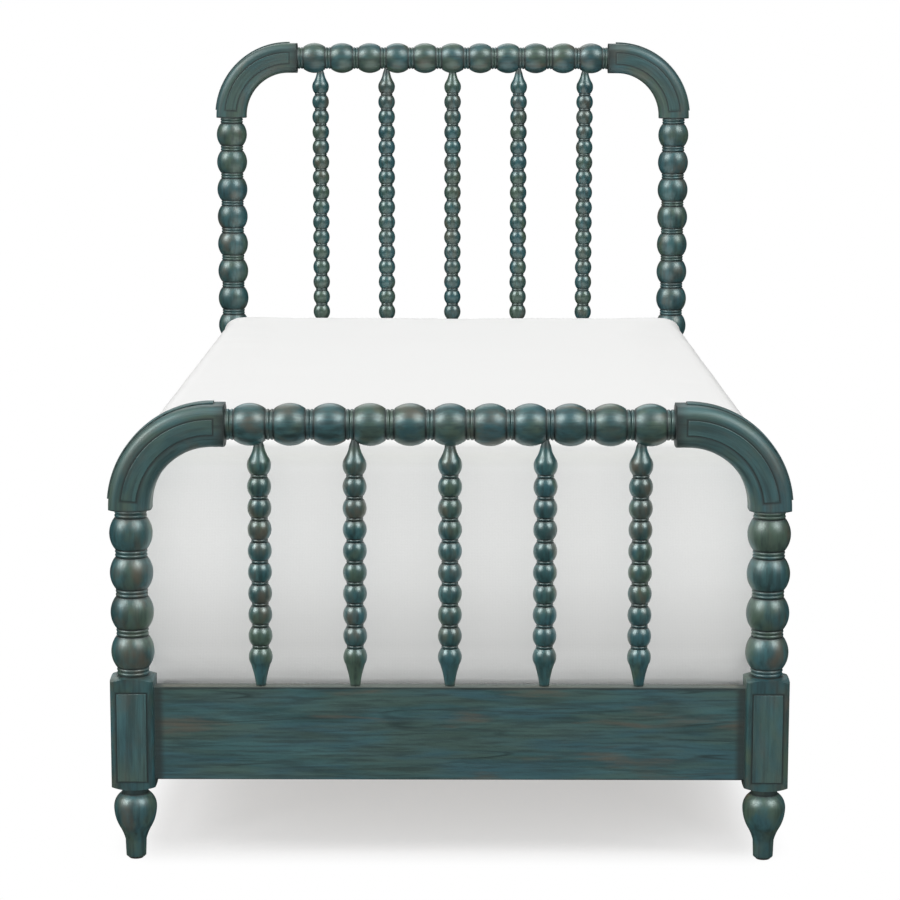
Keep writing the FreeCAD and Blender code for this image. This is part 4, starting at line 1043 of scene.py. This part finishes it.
def mattressFabric():
    material, tree, shader = newMaterial("mattressCover")
    place = objectPlace(tree)
    parts = splitPlace(tree, place)
    waves = [math2(tree, "SINE", times(tree, part, mattress["threads"])) for part in parts]
    threads = plus(tree, plus(tree, waves[0], waves[1]), waves[2])
    fuzz = noise(tree, place, {"Scale": 420.0, "Detail": 4.0, "Roughness": 0.6})
    soft = noise(tree, place, {"Scale": 5.0, "Detail": 3.0})
    # painted shade: the cover's colour turns darker by height where shade falls on the mattress
    paintedShadeRamp = addNode(tree, "ShaderNodeValToRGB", {0: parts[2]})
    steps = paintedShadeRamp.color_ramp.elements
    while len(steps) < len(mattress["fade"]):
        steps.new(0.5)
    for step, (height, shade) in zip(steps, mattress["fade"]):
        step.position, step.color = height, linear(shade)
    colour = mixColour(tree, times(tree, soft, 0.1), paintedShadeRamp.outputs[0], linear("ffffff"))
    colour = mixColour(tree, between(tree, fuzz, 0.35, 0.65, 0.0, 0.06), colour, linear("c9c9c8"))
    tree.links.new(colour, shader.inputs["Base Color"])
    tree.links.new(between(tree, fuzz, 0.3, 0.7, 0.82, 0.94), shader.inputs["Roughness"])
    shader.inputs["Specular IOR Level"].default_value = 0.2
    shader.inputs["Sheen Weight"].default_value = 0.15
    addBump(tree, shader, plus(tree, times(tree, threads, 0.12), fuzz), 0.25, 0.0006)
    return material


def fillCover(piece):
    # the cover is blown up as cloth, and no point moves farther than mostSwell
    before = points(piece)
    cloth = piece.modifiers.new("filling", "CLOTH")
    for name, value in mattress["cloth"].items():
        setattr(cloth.settings, name, value)
    cloth.settings.effector_weights.gravity = 0
    cloth.collision_settings.use_collision = False
    cloth.point_cache.frame_start = 1
    cloth.point_cache.frame_end = mattress["frames"]
    for step in range(1, mattress["frames"] + 1):
        bpy.context.scene.frame_set(step)
    applyModifiers(piece)
    bpy.context.scene.frame_set(1)
    moved = points(piece) - before
    far = np.linalg.norm(moved, axis=1, keepdims=True)
    moved *= np.minimum(1, mattress["mostSwell"] / np.maximum(far, 1e-9))
    placePoints(piece, before + moved)


def settleOnBed(piece):
    # flatter where it lies on the slats, swelling out over the side rails, clear of posts and rails
    at = points(piece)
    at[:, 2] = np.where(at[:, 2] < mattress["hem"], 2 * at[:, 2] - mattress["hem"], at[:, 2])
    reach = np.where(at[:, 2] < mattress["bulgeFrom"], mattress["besideRails"], mattress["overRails"])
    rise = np.clip((at[:, 2] - mattress["bulgeFrom"]) / (mattress["bulgeFull"] - mattress["bulgeFrom"]), 0, 1)
    at[:, 0] *= 1 + (mattress["bulge"] - 1) * rise * rise * (3 - 2 * rise)
    at[:, 0] = np.clip(at[:, 0], -reach, reach)
    at[:, 1] = np.clip(at[:, 1], -mattress["endReach"], mattress["endReach"] + 2 * mattress["middle"][1])
    at[:, 2] = np.maximum(at[:, 2], mattress["floor"])
    placePoints(piece, at)


def makeMattress():
    bpy.ops.object.select_all(action="DESELECT")
    bpy.ops.mesh.primitive_cube_add(size=2, location=(0, 0, 0))
    piece = nameNew("mattressPad")
    edit(piece)
    bpy.ops.transform.resize(value=mattress["half"])
    bpy.ops.mesh.select_mode(type="EDGE")
    bpy.ops.mesh.select_all(action="SELECT")
    bpy.ops.mesh.bevel(
        offset=mattress["rounding"], offset_type="OFFSET", segments=mattress["roundingSegments"], affect="EDGES"
    )
    leave()
    shift(piece, mattress["middle"])
    piece.data.remesh_voxel_size = mattress["voxel"]
    pick(piece)
    bpy.ops.object.voxel_remesh()
    fillCover(piece)
    finer = piece.modifiers.new("soft", "SUBSURF")
    finer.levels = finer.render_levels = 1
    applyModifiers(piece)
    settleOnBed(piece)
    pick(piece)
    bpy.ops.object.shade_smooth()
    return piece


piece = makeMattress()
finishPiece(piece, "mattress", mattressFabric(), "bedding")
print("mattress filled")

# floor, light and camera

studio = {
    "floorSize": 60,
    "floorColour": linear("e4e4e4"),
    "footprint": (0.455, 0.945),  # half sizes of the place on the floor where the shadow shows
    "shadowFade": 0.1,  # beyond it the shadow fades out over this
    "shadowLift": 0.5,
    "skyDiffuse": 0.17,
    "skyGlossy": 0.015,  # what the paint mirrors: dim all round, lighter from skyGlossyFrom up to the top
    "skyGlossyTop": 0.3,
    "skyGlossyFrom": 0.45,
    "lamps": [
        # name, degrees to the left, degrees up, strength, spread in degrees
        ("lampLeft", 61, 37, 2.1, 34),
        ("lampRight", -49, 41, 1.75, 34),
        ("lampBack", 172, 38, 0.7, 40),
    ],
    "shadowCasters": ("mattressPad", "footLowerRail", "headLowerRail", "sideRail"),
    "camera": {"place": (0.0094, -5.146, 1.3085), "lens": 107.82, "tilt": 8.896, "yaw": 0.132, "roll": 0.082},
}


def pastEdge(tree, place, edge):
    return larger(tree, minus(tree, math2(tree, "ABSOLUTE", place), edge), 0.0)


def makeFloor():
    bpy.ops.object.select_all(action="DESELECT")
    bpy.ops.mesh.primitive_plane_add(size=studio["floorSize"], location=(0, 0, 0))
    floor = nameNew("studioFloor")
    material, tree, shader = newMaterial("studioFloor")
    shader.inputs["Base Color"].default_value = studio["floorColour"]
    shader.inputs["Roughness"].default_value = 0.9
    shader.inputs["Specular IOR Level"].default_value = 0.0
    path = addNode(tree, "ShaderNodeLightPath")
    place = splitPlace(tree, objectPlace(tree))
    overX, overY = (pastEdge(tree, place[axis], studio["footprint"][axis]) for axis in (0, 1))
    away = math2(tree, "SQRT", plus(tree, times(tree, overX, overX), times(tree, overY, overY)))
    # for the camera the floor turns white away from the bed, and keeps part of its shadow under it
    fade = between(tree, away, 0.0, studio["shadowFade"], studio["shadowLift"], 1.0)
    whiteness = times(tree, path.outputs["Is Camera Ray"], fade)
    white = addNode(tree, "ShaderNodeEmission", {"Color": (1, 1, 1, 1), "Strength": 1.0})
    shown = addNode(tree, "ShaderNodeMixShader", {0: whiteness, 1: shader.outputs[0], 2: white.outputs[0]})
    dim = addNode(tree, "ShaderNodeEmission", {"Color": (1, 1, 1, 1), "Strength": studio["skyGlossy"]})
    mirrored = path.outputs["Is Glossy Ray"]
    surface = addNode(tree, "ShaderNodeMixShader", {0: mirrored, 1: shown.outputs[0], 2: dim.outputs[0]})
    tree.links.new(surface.outputs[0], tree.nodes["Material Output"].inputs["Surface"])
    floor.data.materials.append(material)


def makeWorld():
    world = bpy.data.worlds.new("studioWorld")
    bpy.context.scene.world = world
    world.use_nodes = True
    tree = world.node_tree
    background = tree.nodes["Background"]
    path = addNode(tree, "ShaderNodeLightPath")
    seen = larger(tree, path.outputs["Is Camera Ray"], path.outputs["Is Transmission Ray"])
    way = splitPlace(tree, addNode(tree, "ShaderNodeTexCoord").outputs["Generated"])
    mirrored = between(tree, way[2], studio["skyGlossyFrom"], 1.0, studio["skyGlossy"], studio["skyGlossyTop"])
    unseen = between(tree, path.outputs["Is Glossy Ray"], 0.0, 1.0, studio["skyDiffuse"], mirrored, smoothly=False)
    background.inputs["Color"].default_value = (1, 1, 1, 1)
    tree.links.new(larger(tree, unseen, seen), background.inputs["Strength"])


def makeLamps():
    # only the large pieces throw shadows: in the photo the turnings throw none on the mattress
    blockers = bpy.data.collections.new("largePieces")
    for piece in list(bpy.data.objects):
        if piece.name.startswith(studio["shadowCasters"]):
            blockers.objects.link(piece)
    for name, left, up, strength, spread in studio["lamps"]:
        bpy.ops.object.light_add(type="SUN", location=(0, 0, 3))
        lamp = bpy.context.object
        lamp.name = name
        lamp.data.energy = strength
        lamp.data.angle = math.radians(spread)
        around, high = math.radians(left), math.radians(up)
        way = Vector((-math.sin(around) * math.cos(high), -math.cos(around) * math.cos(high), math.sin(high)))
        lamp.rotation_euler = (-way).to_track_quat("-Z", "Y").to_euler()
        lamp.light_linking.blocker_collection = blockers


def makeCamera():
    settings = studio["camera"]
    bpy.ops.object.camera_add(location=settings["place"])
    camera = bpy.context.object
    aim = Euler((math.radians(90 - settings["tilt"]), 0, math.radians(settings["yaw"]))).to_matrix()
    camera.rotation_euler = (aim @ Matrix.Rotation(math.radians(settings["roll"]), 3, "Z")).to_euler()
    camera.name = "photoCamera"
    camera.data.lens = settings["lens"]
    camera.data.sensor_width = 36
    camera.data.clip_end = 200
    bpy.context.scene.camera = camera


makeFloor()
makeWorld()
makeLamps()
makeCamera()
print("studio set up")
